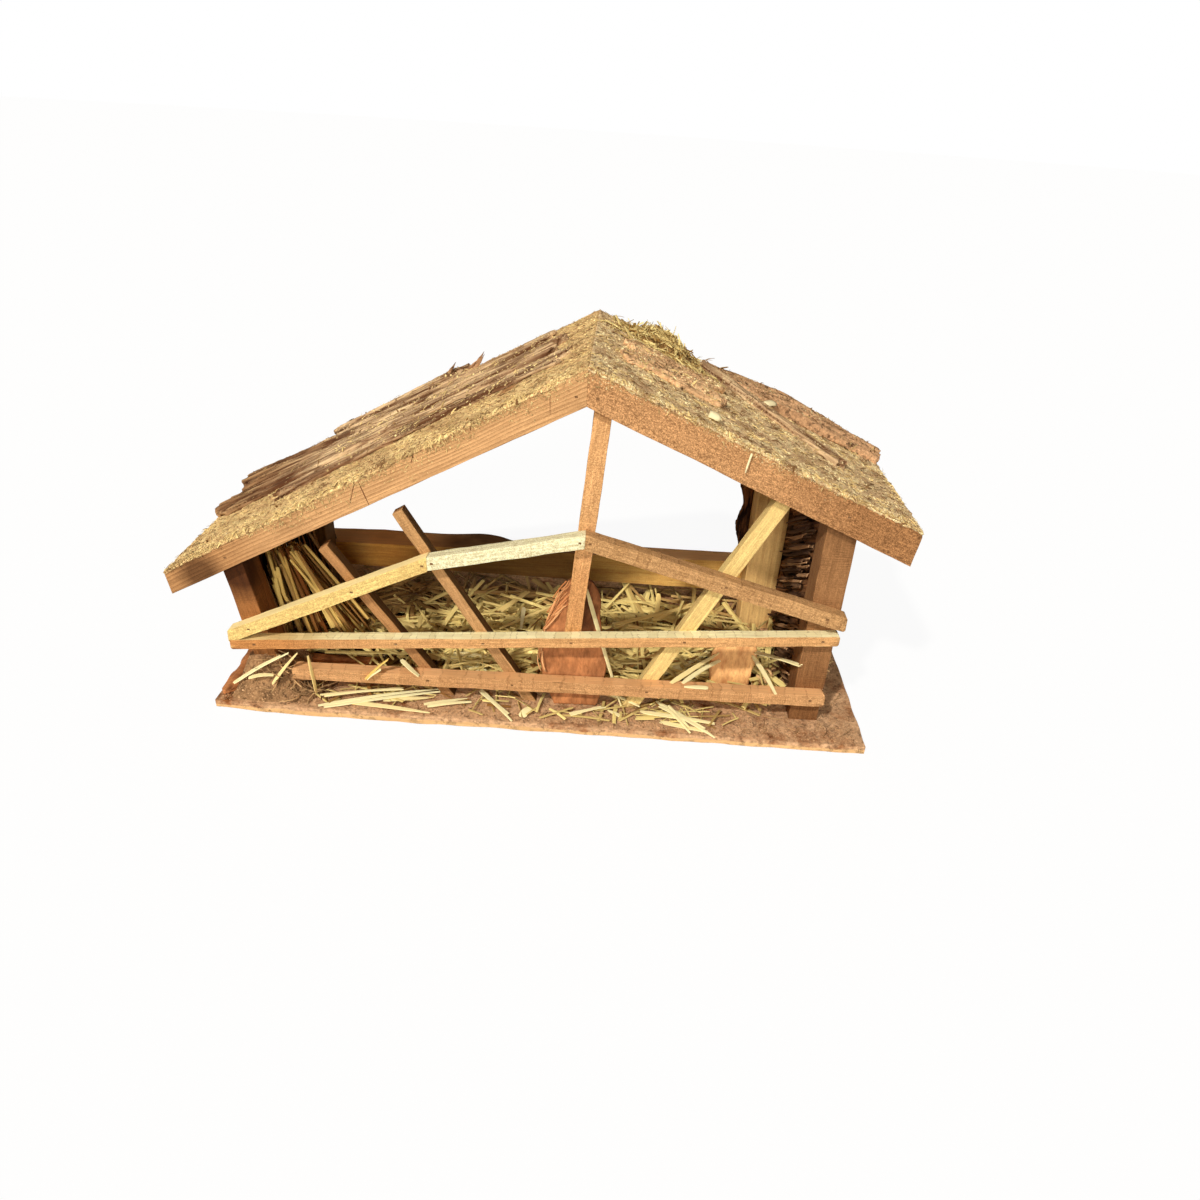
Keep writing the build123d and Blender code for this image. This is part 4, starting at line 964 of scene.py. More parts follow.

# Straws laid one by one: start and end in millimetres, width, tint
LAID = (
    ((-155.4, 7.0, 5.5), (-126.6, 11.9, 23.7), 3.4, 0.95),
    ((-134.6, 5.5, 8.0), (-122.6, 12.0, 23.6), 2.8, 0.6),
    ((-146.2, 5.6, 10.6), (-134.4, 8.2, 11.8), 2.8, 0.9),
    ((-114.1, 9.0, 0.8), (-116.9, 9.8, 23.2), 2.0, 0.45),
    ((-110.2, -1.2, 1.0), (-53.4, 18.3, 2.2), 4.2, 1.0),
    ((-111.3, 5.7, 2.6), (-71.6, 16.2, 2.8), 3.4, 0.85),
    ((-32.8, 19.4, 3.0), (-13.1, -2.0, 1.2), 3.2, 0.95),
    ((14.6, 6.1, 1.4), (32.0, 14.0, 2.2), 3.4, 0.9),
    ((57.7, 20.0, 2.4), (88.0, -3.0, 1.2), 4.4, 1.0),
    ((49.9, 10.1, 3.2), (87.6, 6.1, 1.6), 3.0, 0.95),
    ((-98.4, 4.4, 1.0), (-54.6, -0.5, 1.6), 3.0, 0.8),
    ((-57.8, 41.6, 8.0), (-34.5, 30.2, 6.0), 3.8, 0.95),
    ((-25.4, 40.8, 8.0), (-2.4, 24.9, 6.0), 3.6, 1.0),
    ((77.2, 58.6, 8.0), (101.8, 28.4, 5.0), 3.8, 0.95),
    ((28.9, 25.3, 4.0), (49.8, 14.7, 3.0), 3.4, 0.9),
    ((60.0, 6.0, 0.9), (84.0, 1.0, 0.9), 3.0, 0.85),
    ((-80.0, 8.0, 0.9), (-58.0, 12.0, 1.4), 3.0, 0.7),
    ((64.0, 16.0, 3.6), (76.0, -1.5, 1.4), 3.2, 0.9),
    ((-31.3, 80.5, 14.5), (-18.1, 108.0, 13.5), 4.4, 0.4),
    ((-28.8, 64.7, 12.9), (4.7, 100.1, 12.9), 2.0, 0.4),
    ((-18.1, 88.3, 13.5), (-16.6, 65.2, 13.2), 2.4, 1.0),
    ((35.0, 73.2, 15.5), (79.5, 100.1, 15.5), 3.0, 0.35),
    ((18.9, 30.7, 60.1), (40.2, 15.4, 2.2), 2.6, 0.85),
    ((31.9, 58.0, 9.0), (35.4, 33.2, 6.0), 3.2, 0.9),
    ((51.3, 29.7, 7.0), (87.7, 61.9, 9.0), 3.2, 0.8),
    ((-47.2, 61.2, 9.0), (-34.7, 31.2, 7.0), 3.4, 0.9),
    ((57.1, 82.2, 14.5), (79.1, 105.0, 14.5), 4.6, 0.35),
    ((59.8, 104.9, 19.5), (57.6, 85.6, 9.0), 3.0, 0.3),
    ((33.3, 75.1, 14.5), (51.2, 72.1, 14.5), 4.4, 0.5),
    ((69.1, 40.9, 9.0), (83.9, 56.7, 10.0), 4.4, 1.0),
    ((-9.0, 2.0, 0.9), (-6.0, 9.0, 1.4), 4.2, 1.0),
    ((-58.9, 5.6, 1.0), (-36.4, 12.3, 1.4), 4.6, 1.0),
    ((-88.7, 9.6, 12.2), (-76.4, 10.0, 25.0), 3.0, 0.1),
    ((-70.7, 12.0, 23.6), (-61.6, 9.6, 16.2), 2.6, 1.0),
    ((-87.4, 9.2, 12.3), (-80.5, 9.4, 18.7), 2.8, 1.0),
    ((40.5, 8.0, 0.9), (33.5, 12.0, 1.0), 2.2, 0.9),
    ((64.1, 14.0, 19.2), (90.1, 38.0, 23.5), 3.0, 0.6),
    ((70.0, 15.0, 19.0), (90.5, 37.2, 19.6), 2.6, 0.95),
    ((107.8, 38.4, 25.5), (127.2, 15.5, 34.0), 4.4, 1.0),
    ((107.2, 38.0, 23.5), (115.9, 9.8, 19.8), 2.6, 0.95),
    ((82.5, 11.0, 20.0), (70.6, 11.5, 19.3), 2.8, 1.0),
    ((-50.4, 41.0, 9.8), (-30.8, 41.0, 9.0), 3.2, 0.8),
    ((-51.6, 36.0, 9.6), (-31.4, 34.0, 6.2), 3.2, 1.0),
    ((-48.8, 33.0, 8.2), (-34.0, 33.0, 5.4), 2.6, 0.9),
)

# Frayed strands along the left edge of the centre chunk: start and end in millimetres
STRANDS = (
    ((10.4, 31.3, 63.6), (6.6, 30.0, 58.8)), ((9.9, 31.1, 63.0), (3.7, 28.7, 54.1)),
    ((9.6, 29.9, 58.4), (1.3, 27.1, 47.9)), ((10.1, 28.9, 54.5), (0.4, 25.9, 43.5)),
    ((7.9, 27.9, 50.9), (-1.4, 24.6, 38.4)), ((6.0, 29.8, 58.2), (0.1, 25.5, 42.0)),
    ((8.9, 28.2, 52.0), (3.2, 26.7, 46.6)), ((-1.2, 24.5, 38.3), (-2.6, 21.3, 26.5)),
    ((-1.8, 21.6, 27.3), (0.2, 18.8, 17.1)),
)

# Stems that stand against the left wall, and bright ones before them: the palest straw, put where the bundle
# is lit, partly painted light
BUNDLE, BRIGHT_STEMS = 60, 7

# Where straws fall: highest draw, ranges across and back, height of the heap; the last is the front
STREWN = (
    (0.88, (-134, 124), (26, 116), 9.0),
    (0.93, (-125, 105), (114, 144), 1.6),
    (1.0, (-120, 105), (3, 26), 1.2),
)
# Limits for the ends of straws, in millimetres from the front edge and from the middle
NEAREST, NEAREST_IN_FRONT, FARTHEST, WIDEST = 16, 1, 152, 158

# Brown hairs and twigs on the base: middle, spread, number, longest
HAIRS = (
    ((-124.0, 12.0), (9.0, 4.0), 60, 16.0), ((51.8, 9.1), (6.0, 4.0), 30, 9.0),
    ((33.0, 4.0), (3.0, 3.0), 10, 10.0), ((100.0, 12.0), (22.0, 5.0), 24, 7.0),
)

# Litter on the front of the gable boards: number and drop of the crumbs, then of the fibres
FRINGE = {"left": ((1500, 6.5), (1100, 7.0)), "right": ((700, 3.5), (600, 4.0))}
# Share of the roof litter that lies along the front edge, and the number of bits in the clump
EDGE_SHARE, CLUMP_BITS = 0.12, 1000
# Cells of the sawdust coat, the straw mat and the drift, in millimetres, and rows and columns of the drift
COAT_CELL, MAT_CELL, DRIFT_CELL = 1.3, 2.0, 1.25
DRIFT_ROWS, DRIFT_COLUMNS = 34, 44
# Height above the base from which litter falls
DROP_HEIGHT = 24

# Hanging strips on the left wall and plates on the right wall
WALL_STRIPS, WALL_PLATES = 26, 110
# Curls by the right post and chunk: number, ranges of start, reach, width and sag, steps, thickness,
# bow and range of tints
CURLS = (
    (16, ((140, 143), (34, 40), (14, 30)), ((2, 8), (-4, 4), (-9, 4)),
     (1.0, 3.0), (-1, 2), 4, 0.4, 0.6, (0.5, 1)),
    (18, ((108, 121), (36, 52), (2, 12)), ((-5, 5), (-4, 4), (-2, 4)),
     (1.2, 3.0), (0, 2), 5, 0.35, 0.8, (0.6, 1)),
)
# Splinters on the left slope: distance from the ridge, depth, lift, reach, width, rise
SPLINTERS = (
    (75, 121, 3, 11, 4.0, 5.5), (78, 119, 3, 8, 3.0, 3.0), (73, 117, 3, 9, 2.4, 4.5),
    (93, 122, 4, 12, 4.4, 6.0), (97, 120, 4, 9, 3.4, 3.5), (91, 118, 4, 8, 2.2, 5.0),
    (128, 118, 5, 9, 3.0, 2.5), (160, 112, 4, 8, 2.6, 2.5),
)
# Scratches on the front gable boards: start and end as (x, height), and width
SCRATCHES = (
    ((-86.4, 116.5), (-89.0, 106.7), 0.5), ((-84.6, 117.6), (-80.5, 106.4), 0.7),
    ((-0.6, 165.1), (-0.3, 154.0), 0.4), ((-59.4, 131.5), (-60.5, 127.8), 0.8),
    ((-33.8, 148.6), (-34.3, 144.1), 0.8), ((-43.9, 140.8), (-44.8, 138.5), 0.7),
)
SCRATCH_DEPTH = 11.5
# Pale chips on the right slope and its gable board: start, end, width
CHIPS = (
    ((67.6, 22.0, 155.4), (72.4, 20.6, 153.6), 3.6), ((101.8, 86.0, 142.6), (108.2, 92.0, 141.6), 3.6),
    ((86.6, 11.0, 142.9), (84.9, 10.6, 134.1), 0.9),
)

# Camera fitted to the photograph: lens and sensor, place in millimetres, axes
LENS, SENSOR, NEAR_CLIP = 26.01, 36.0, 0.01
EYE = (27.783, -421.799, 272.342)
EYE_RIGHT = (0.99762, 0.03789, 0.05754)
EYE_DOWN = (0.06874, -0.49268, -0.86749)
EYE_AHEAD = (-0.00453, 0.86938, -0.49412)
# Ways and widths of the suns; the width of the key light is a property
KEY_WAY, FRONT_WAY, TOP_WAY = (0.6, 1.0, -1.1), (0.03, 1.0, -0.46), (0.15, 0.45, -1.0)
FRONT_WIDTH, TOP_WIDTH = math.radians(14), math.radians(30)
# Floor: radius, gap under the base, and how far the camera sees it as plain white
FLOOR_RADIUS, FLOOR_GAP, FLOOR_GLOW = 12.0, 0.3 * MM, 0.93
DOWN = Vector((0, 0, -1))


def ramp(low, high, value):
    """Rise from 0 to 1 between two values, without a corner."""
    share = min(1.0, max(0.0, (value - low) / (high - low)))
    return share * share * (3 - 2 * share)


def drift_height(x, y):
    """Height of the sawdust in the left front corner."""
    return 16 * ramp(-157, -149, x) * (1 - ramp(-136, -112, x)) * ramp(0, 17, y) * (1 - ramp(33, 42, y))


class StableOperator:
    """What every operator of the stable shares."""
    bl_options = {'REGISTER', 'UNDO'}

    def looks(self, context):
        scene = context.scene
        return scene.stable_wood, scene.stable_bark, scene.stable_litter, scene.stable_stage


class STABLE_OT_wood(StableOperator, bpy.types.Operator):
    """Lay grain, saw marks and soft edges over the sawn wood"""
    bl_idname = "stable.wood"
    bl_label = "Sawn wood"

    def lay(self, node, slot, material, wood):
        """Put the node's wood with soft edges in its place."""
        mesh = softened(node, wood.edge_round, wood.edge_waver)
        new_piece(node + "_wood", mesh, material, [node])

    def execute(self, context):
        wood, _, litter, _ = self.looks(context)
        noise.seed_set(3)
        for node, slot, key, angle, saw, fuzz, ring_scale in WOOD:
            material = wood_material(
                node + "_wood", getattr(wood, key), (0.0, math.radians(angle), 0.0), saw, fuzz,
                1.0 if "left_gable" in node else 0.4, ring_scale, litter.sawdust if "gable" in node else None,
                TOPS.get(node), TICKS.get(node), STAINS_AND_PAINTED_SHADE.get(node, ()), *DOTS.get(node, (0.0, 0.0)),
                flank_painted_shade="strut_left" in node)
            self.lay(node, slot, material, wood)
        for node, turn in ROOF_BOARDS:
            self.lay(node, "roof_wood", wood_material(node + "_wood", wood.roof_board, turn), wood)
        mesh = softened("base_board", wood.edge_round, 2 * wood.edge_waver, 5.0)
        for vert in mesh.vertices:
            near = max(0.0, 1 - (vert.co.y - FRONT) / BULGE_DEPTH)
            vert.co.y -= BULGE * near * ramp(-165, -125, (vert.co.x - MIDDLE) / MM)
        material = base_material(wood.base_top, wood.base_edge)
        new_piece("base_board_wood", mesh, material, ["base_board"])
        steel = steel_material()
        for node in ("rail_brads", "gable_brads", "base_brads"):
            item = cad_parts[node]
            item.data.materials.clear()
            item.data.materials.append(steel)
        return {'FINISHED'}


class STABLE_OT_bark(StableOperator, bpy.types.Operator):
    """Carve the bark of the roof, the walls and the floor"""
    bl_idname = "stable.bark"
    bl_label = "Bark"

    def execute(self, context):
        _, bark, litter, _ = self.looks(context)
        noise.seed_set(5)
        # The dim and rear looks are darker copies of the wall bark: painted shade for bark that stands in
        # shade.
        # The pale look is a lighter copy of the chunk colour: painted light for the right chunk.
        tones = {"roof": (bark.roof_light, bark.roof_dark), "wall": (bark.wall_light, bark.wall_dark),
                 "dim": (shade(bark.wall_light, 0.13, 0.65), shade(bark.wall_dark, 0.5)),
                 "rear": (shade(bark.wall_light, 0.5, 0.3), bark.wall_dark),
                 "chunk": (bark.chunk, None), "pale": (bark.chunk_pale, None)}
        for index, (node, slot, look, along, plates, cracks) in enumerate(BARK):
            light, dark = tones[look]
            turn = tuple(fibre_axes(along).to_euler())
            if dark is None:
                material = chunk_material(node + "_bark", light, STAINS_AND_PAINTED_SHADE.get(node, ()))
            elif node in DUSTY:
                material = dust_material(node + "_bark", shade(litter.moss_dust, DUSTY[node], 0.1), pits=1.0)
            else:
                fade = FADE if node.startswith("left_roof") else None
                material = bark_material(node + "_bark", light, dark, turn, fade)
            ragged = 0.6 if dark is None else 0.0
            mesh = carved_bark(node, along, bark.cell, bark.depth, index + 1, plates, cracks, ragged)
            if node == "right_roof_bark_back":
                self.thin_out(mesh)
            new_piece(node + "_bark", mesh, material, [node])
        return {'FINISHED'}

    def thin_out(self, mesh):
        """Sink the start of the back slab towards the roof, where the clump covers it."""
        low = min(vert.co.x for vert in mesh.vertices)
        ridge = slope_place("right", 0, 0, 0)
        up = Vector((-RIGHT_SLOPE.z, 0, RIGHT_SLOPE.x))
        for vert in mesh.vertices:
            near = max(0.0, 1 - (vert.co.x - low) / (45 * MM))
            height = (vert.co - ridge).dot(up)
            vert.co -= up * max(0.0, height - 0.8 * MM) * 0.85 * near


def slope_place(side, along, depth, lift):
    """A place on a slope: distance from the ridge, depth behind the base's front and height over the roof."""
    slope = -LEFT_SLOPE if side == "left" else RIGHT_SLOPE
    up = Vector((-slope.z, 0, slope.x)) if side == "right" else Vector((slope.z, 0, -slope.x))
    return at(RIDGE[0], depth, RIDGE[1]) + slope * along * MM + up * lift * MM


def slope_length(side):
    eave = LEFT_EAVE if side == "left" else RIGHT_EAVE
    return math.hypot(eave[0] - RIDGE[0], eave[1] - RIDGE[1])


class STABLE_OT_sawdust(StableOperator, bpy.types.Operator):
    """Spread a coat of sawdust over both slopes"""
    bl_idname = "stable.sawdust"
    bl_label = "Sawdust coat"

    def coat(self, side):
        """A thin, lumpy sheet over one slope, with a ragged rim."""
        reach, deep = slope_length(side), ROOF_BACK - ROOF_FRONT + 1.0
        rows, columns = int(deep / COAT_CELL), int(reach / COAT_CELL)

        def place(row, column):
            depth = ROOF_FRONT - 0.5 + deep * row / rows
            along = reach * column / columns
            spot = Vector((along * 0.13, depth * 0.13, 7.0 if side == "left" else 3.0))
            lift = 0.55 + 0.7 * noise.noise(spot * 0.6) + 0.5 * noise.noise(spot * 4.0)
            rim = min(row, rows - row, columns - column)
            if rim == 0:
                lift -= 0.9 + 0.8 * abs(noise.noise(spot * 5))
                depth += 0.9 * noise.noise(spot * 7)
            elif rim == 1:
                lift -= 0.2
            return slope_place(side, along, depth, max(lift, -1.0))

        sheet = to_mesh("coat_" + side, grid_shape(rows, columns, place))
        if sheet.polygons[0].normal.z < 0:
            sheet.flip_normals()
        mesh = with_modifier("coat_" + side, sheet, 'SOLIDIFY', thickness=0.9 * MM, offset=-1.0)
        mesh.shade_smooth()
        return mesh

    def execute(self, context):
        litter = self.looks(context)[2]
        for side, look, pits in (("left", litter.sawdust, 0.6), ("right", litter.moss_dust, 1.0)):
            material = dust_material("dust_" + side, look, pits=pits)
            new_piece("roof_coat_" + side, self.coat(side), material)
        return {'FINISHED'}


class STABLE_OT_roof_litter(StableOperator, bpy.types.Operator):
    """Scatter fibres, crumbs and chips over the roof"""
    bl_idname = "stable.roof_litter"
    bl_label = "Roof litter"

    def points(self, ground, bare, side, number_of, rng, small, large, kinds):
        """Points on the slope; the front edge gets its own share."""
        made = []
        tries = 0
        while len(made) < number_of and tries < number_of * 4:
            tries += 1
            along = rng.uniform(0.5, slope_length(side) - 0.5)
            edge = rng.random() < EDGE_SHARE
            depth = ROOF_FRONT + abs(rng.gauss(0, 1.6)) - 0.5 if edge else rng.uniform(ROOF_FRONT, ROOF_BACK)
            start = slope_place(side, along, depth, 0.0) + Vector((0, 0, 60 * MM))
            place, normal, _, _ = ground.ray_cast(start, DOWN)
            if place is None or normal.z < 0.15:
                continue
            coat = bare.ray_cast(start, DOWN)[0]
            high = coat is not None and place.z - coat.z > 0.8 * MM
            dusty = side == "right" or along < 150
            if high and rng.random() > (0.5 if dusty else 0.14):
                continue
            size = rng.uniform(small, large) * MM
            spin = math.pi / 2 + rng.gauss(0, 0.5) if rng.random() < 0.6 else rng.uniform(0, math.tau)
            turn = lying(normal, spin, rng.gauss(0, 0.25))
            tint = 0.2 * rng.random() if rng.random() < 0.22 else 0.5 + 0.5 * rng.random()
            patch = noise.noise(place * 70) if side == "left" else 1.7 * noise.noise(place * 110)
            dim = 0.5 if high and (side == "right" or not dusty) else 1.0
            tint *= dim * min(1.2, max(0.1, 0.85 + 1.3 * patch))
            made.append((place, turn, (size, size, size), rng.randrange(kinds), tint))
        return made

    def fringe(self, side, number_of, rng, small, large, kinds, drop):
        """Points on the front of a gable board, close below its upper edge."""
        made = []
        reach = slope_length(side)
        for _ in range(number_of):
            along = rng.uniform(1.0, reach - 1.0)
            thick = 0.5 + 0.5 * noise.noise(Vector((along * 0.05, 2.0 if side == "left" else 5.0, 0)))
            thick *= 1 - ramp(0.72 * reach, 0.84 * reach, along)
            below = min(12.0, abs(rng.gauss(0, drop * thick)))
            place = slope_place(side, along, ROOF_FRONT - 0.1, 0.3 - below)
            size = rng.uniform(small, large) * MM
            facing = Vector((rng.gauss(0, 0.15), -1, rng.gauss(0, 0.2))).normalized()
            turn = lying(facing, rng.uniform(0, math.tau))
            made.append((place, turn, (size, size, size), rng.randrange(kinds), 0.2 + 0.6 * rng.random()))
        return made

    def execute(self, context):
        litter = self.looks(context)[2]
        rng = random.Random(litter.seed)
        ground = surface(built("roof_coat_left", "roof_coat_right", *ROOF_BARK))
        bare = surface(built("roof_coat_left", "roof_coat_right", "right_roof_bark_middle_bark"))
        crumbs, fibres = crumb_shapes(rng), fibre_shapes(rng) + flake_shapes(rng)
        for side, dust in (("left", litter.sawdust), ("right", litter.moss_dust)):
            (crumb_number, crumb_drop), (fibre_number, fibre_drop) = FRINGE[side]
            look = tint_material("crumbs_" + side, shade(dust, 1.4), shade(dust, 0.28, 0.25), 0.1, 0.95)
            points = self.points(ground, bare, side, litter.roof_crumbs, rng, 0.4, 1.5, 5)
            points += self.fringe(side, crumb_number, rng, 0.3, 0.9, 5, crumb_drop)
            mesh = scatter("roof_crumbs_" + side, [part.copy() for part in crumbs], points, look)
            new_piece("roof_crumbs_" + side, mesh)
            pale, deep = shade(litter.fibre, 1.4), shade(litter.fibre, 0.2, 0.25)
            look = tint_material("fibres_" + side, pale, deep, 0.2, 0.8)
            points = self.points(ground, bare, side, litter.roof_fibres, rng, 0.9, 4.4, 8)
            points += self.fringe(side, fibre_number, rng, 0.8, 2.6, 8, fibre_drop)
            mesh = scatter("roof_fibres_" + side, [part.copy() for part in fibres], points, look)
            new_piece("roof_fibres_" + side, mesh)
        return {'FINISHED'}


class STABLE_OT_clump(StableOperator, bpy.types.Operator):
    """Heap moss and short straw by the ridge"""
    bl_idname = "stable.clump"
    bl_label = "Moss clump"

    def execute(self, context):
        litter = self.looks(context)[2]
        rng = random.Random(litter.seed + 5)
        body = carved_bark("ridge_moss_clump", RIGHT_SLOPE, 0.8 * MM, 1.4 * MM, 41, 1.0, 0.5)
        look = dust_material("clump_body", shade(litter.clump, 0.55, 0.2), 700.0, 0.9)
        heap = new_piece("ridge_clump_body", body, look, ["ridge_moss_clump"])
        low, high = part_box("ridge_moss_clump")
        under = built("roof_coat_right", "right_roof_bark_back_bark", "right_roof_bark_middle_bark")
        ground = surface([heap] + under)
        points = []
        while len(points) < CLUMP_BITS:
            x = rng.gauss(0.45, 0.28) * (high.x - low.x) * 1.25 + low.x
            y = rng.uniform(low.y - 0.006, high.y + 0.003)
            place, normal, _, _ = ground.ray_cast(Vector((x, y, high.z + 0.03)), DOWN)
            if place is None:
                continue
            size = rng.uniform(3, 12) * MM
            turn = lying(normal, rng.uniform(0, math.tau), rng.gauss(0, 0.35))
            points.append((place + normal * 0.2 * MM, turn, (size, 0.7 * size, 0.7 * size), rng.randrange(10),
                           rng.random()))
        straw = tint_material("clump_straw", tone(255, 234, 160), tone(140, 96, 38), 0.2)
        mesh = scatter("ridge_clump_straw", fibre_shapes(rng) + flake_shapes(rng), points, straw)
        new_piece("ridge_clump_straw", mesh)
        return {'FINISHED'}


class STABLE_OT_straw(StableOperator, bpy.types.Operator):
    """Strew straw over the floor"""
    bl_idname = "stable.straw"
    bl_label = "Straw"

    def mat(self):
        """A low, lumpy mat under the straw."""
        low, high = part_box("straw_bed")
        step = MAT_CELL * MM
        columns, rows = int((high.x - low.x) / step), int((high.y - low.y) / step)

        def place(row, column):
            x = low.x + (high.x - low.x) * column / columns
            y = low.y + (high.y - low.y) * row / rows
            rim = min(column, columns - column, row, rows - row)
            lumps, fine = noise.noise(Vector((x, y, 0.3)) * 60), noise.noise(Vector((x, y, 1.3)) * 260)
            rise = 0.9 + 1.0 * lumps + 0.6 * fine
            return x, y, TOP + (max(0.2, rise) * min(1.0, rim / 4) - 0.1) * MM

        return to_mesh("straw_mat", grid_shape(rows, columns, place))

    def drift(self):
        """A drift of sawdust in the left front corner, over the foot of the post."""
        def place(row, column):
            x, y = -160 + column * DRIFT_CELL, 0.8 + row * DRIFT_CELL
            rise = drift_height(x, y)
            lumps, fine = noise.noise(Vector((x, y, 4.0)) * 0.2), noise.noise(Vector((x, y, 9.0)) * 0.8)
            rise *= 1 + 0.15 * lumps + 0.08 * fine
            rim = min(column, DRIFT_COLUMNS - column, row, DRIFT_ROWS - row)
            return at(x, y, (rise if rim else 0.0) - 0.15)

        return to_mesh("corner_dust", grid_shape(DRIFT_ROWS, DRIFT_COLUMNS, place))

    def split_straw(self, shape, rng, start, end, width, tint):
        """A straw that is split along its length when it is wide, with ends of different lengths."""
        run = end - start
        parts = 2 if width > 3.1 and run.length > 14 * MM else 1
        side = run.cross(UPRIGHT).normalized() * MM
        for part in range(parts):
            off = (part - (parts - 1) / 2) * width * 0.46
            near = start + run * rng.uniform(0, 0.1) * part + side * off
            short = run * rng.uniform(0, 0.2) * (1 - part if parts == 2 else 0)
            far = end - short + side * (off + rng.uniform(-0.7, 0.7))
            path = bent(near, far, rng.uniform(0.0, 1.0) * MM, 8, rng.uniform(-0.6, 0.6) * MM)
            taper = rng.uniform(0.2, 0.8)
            whole = width / parts * MM
            widths = [whole * (1 - taper * (i / 8) ** 3) * (0.6 if i == 0 else 1.0) for i in range(9)]
            strip(shape, path, widths, 0.35 * MM, bow=rng.uniform(0.0, 0.7),
                  tint=tint * rng.uniform(0.85, 1.0))

    def bundle(self, shape, rng):
        """Stems that stand against the left wall and fan out to the right."""
        for index in range(BUNDLE):
            share = index / (BUNDLE - 1)
            head = (-146.5 + 19 * share + rng.gauss(0, 1.2), 42 + 15 * rng.random(),
                    64 - 9 * rng.random() ** 2)
            foot = (head[0] + 4 + 27 * share + rng.gauss(0, 3), head[1] - 4 * rng.random(),
                    6 + 18 * rng.random())
            path = bent(at(*head), at(*foot), 0.0, 8, rng.uniform(-1.6, 1.6) * MM)
            width = (rng.uniform(2.6, 4.2) if index % 6 == 0 else rng.uniform(0.9, 2.3)) * MM
            widths = [width * (1 - 0.5 * abs(i / 8 - rng.uniform(0.3, 0.6))) for i in range(9)]
            bright = rng.random() < 0.34
            strip(shape, path, widths, 0.5 * MM, DEEP, rng.uniform(0.8, 1.8),
                  tint=rng.uniform(0.7, 1.0) if bright else rng.uniform(0.0, 0.45))
        for _ in range(BRIGHT_STEMS):
            head = (rng.uniform(-143, -137), rng.uniform(38, 41), rng.uniform(46, 56))
            foot = (head[0] + rng.uniform(1, 4), head[1], head[2] - rng.uniform(14, 20))
            path = bent(at(*head), at(*foot), 0.0, 8, rng.uniform(-1, 1) * MM)
            strip(shape, path, [rng.uniform(0.8, 2.0) * MM] * 9, 0.4 * MM, DEEP, 1.0, tint=1.0)

    def strands(self, rng):
        """Strands that have come loose along the edge of the centre chunk."""
        shape = bmesh.new()
        for start, end in STRANDS:
            for _ in range(3):
                shift = Vector((rng.gauss(0, 0.9), 0.0, rng.gauss(0, 0.9))) * MM
                path = bent(at(*start) + shift, at(*end) + shift, 0.0, 8, rng.uniform(-1.2, 1.2) * MM)
                strip(shape, path, [rng.uniform(0.4, 1.0) * MM] * 9, 0.3 * MM, DEEP, 0.6, tint=rng.random())
        return to_mesh("chunk_strands", shape)

    def shaded(self, place):
        """Whether a straw lies at the back, where the straw is drawn darker as painted shade."""
        x, y = (place.x - MIDDLE) / MM, (place.y - FRONT) / MM
        return y > 110 - 0.55 * max(0.0, -45 - x)

    def points(self, blocked, rng, number_of):
        """Straws over the floor that cross no wood or bark."""
        made, tries = [], 0
        while len(made) < number_of and tries < number_of * 12:
            tries += 1
            pick = rng.random()
            zone = next(row for row in STREWN if pick < row[0])
            front = zone is STREWN[-1]
            _, across, back, heap = zone
            x, y = rng.uniform(*across), rng.uniform(*back)
            broad = rng.random() < 0.34 and not front
            spin = rng.uniform(0, math.tau)
            share = rng.uniform(0.5, 1.3) if broad else rng.uniform(0.25, 1.1)
            share *= 0.45 if front else 1.0
            reach = HALF_STRAW * share
            dx, dy = abs(reach * math.cos(spin)), abs(reach * math.sin(spin))
            nearest = NEAREST_IN_FRONT if front else NEAREST
            if y - dy < nearest or y + dy > FARTHEST or abs(x) + dx > WIDEST:
                continue
            z = 0.7 + heap * (0.4 + 0.6 * rng.random() if broad else rng.random() ** 1.4)
            tilt = rng.gauss(0, 0.05 if heap < 2 else 0.14)
            if z - reach * abs(math.sin(tilt)) < 0.4:
                z = 0.5 + reach * abs(math.sin(tilt))
            turn = Euler((rng.gauss(0, 0.25), tilt, spin))
            run = turn.to_matrix() @ Vector((reach * MM, 0, 0))
            place = at(x, y, z)
            if blocked.ray_cast(place - run, run.normalized(), run.length * 2)[0] is not None:
                continue
            if blocked.find_nearest(place)[3] < 1.2 * MM:
                continue
            wide = rng.uniform(0.75, 1.15) if broad else rng.uniform(0.3, 0.7)
            # Painted shade: straws low in a heap get dark tints, as if shaded by the straws above
            low = heap > 2 and z < 0.7 + 0.45 * heap
            tint = rng.uniform(0.0, 0.35) if low or rng.random() < 0.12 else rng.uniform(0.5, 1.0)
            if broad:
                kind = rng.choice((0, 2))
            elif front:
                kind = rng.choice((0, 3))
            else:
                kind = rng.randrange(len(STRAW_KINDS))
            thick = 0.3 if front else rng.uniform(0.8, 1.2)
            made.append((place, tuple(turn), (share, wide, thick), kind, tint))
        return made

    def strew(self, litter, rng):
        """Straw over the floor, in two looks, the back one darker as painted shade, and the mat below it."""
        look = tint_material("straw", litter.straw_pale, litter.straw_gold, 0.2, 0.5)
        names = [row[0] + "_wood" for row in WOOD]
        names += [row[0] + "_bark" for row in BARK if "roof" not in row[2]]
        points = self.points(surface(built(*names)), rng, litter.straws)
        near = [point for point in points if not self.shaded(point[0])]
        mesh = scatter("floor_straw", straw_shapes(), near, look)
        new_piece("floor_straw", mesh, None, ["straw_bed"])
        far = [point for point in points if self.shaded(point[0])]
        shaded_straw_look = tint_material("back_straw", tone(206, 168, 104), tone(92, 62, 30), 0.2, 0.6)
        new_piece("back_straw", scatter("back_straw", straw_shapes(), far, shaded_straw_look))
        # The mat's dark colour is painted shade in the gaps between the straws
        new_piece("straw_mat", self.mat(), dust_material("straw_mat", tone(66, 44, 20), 500.0, 0.8))

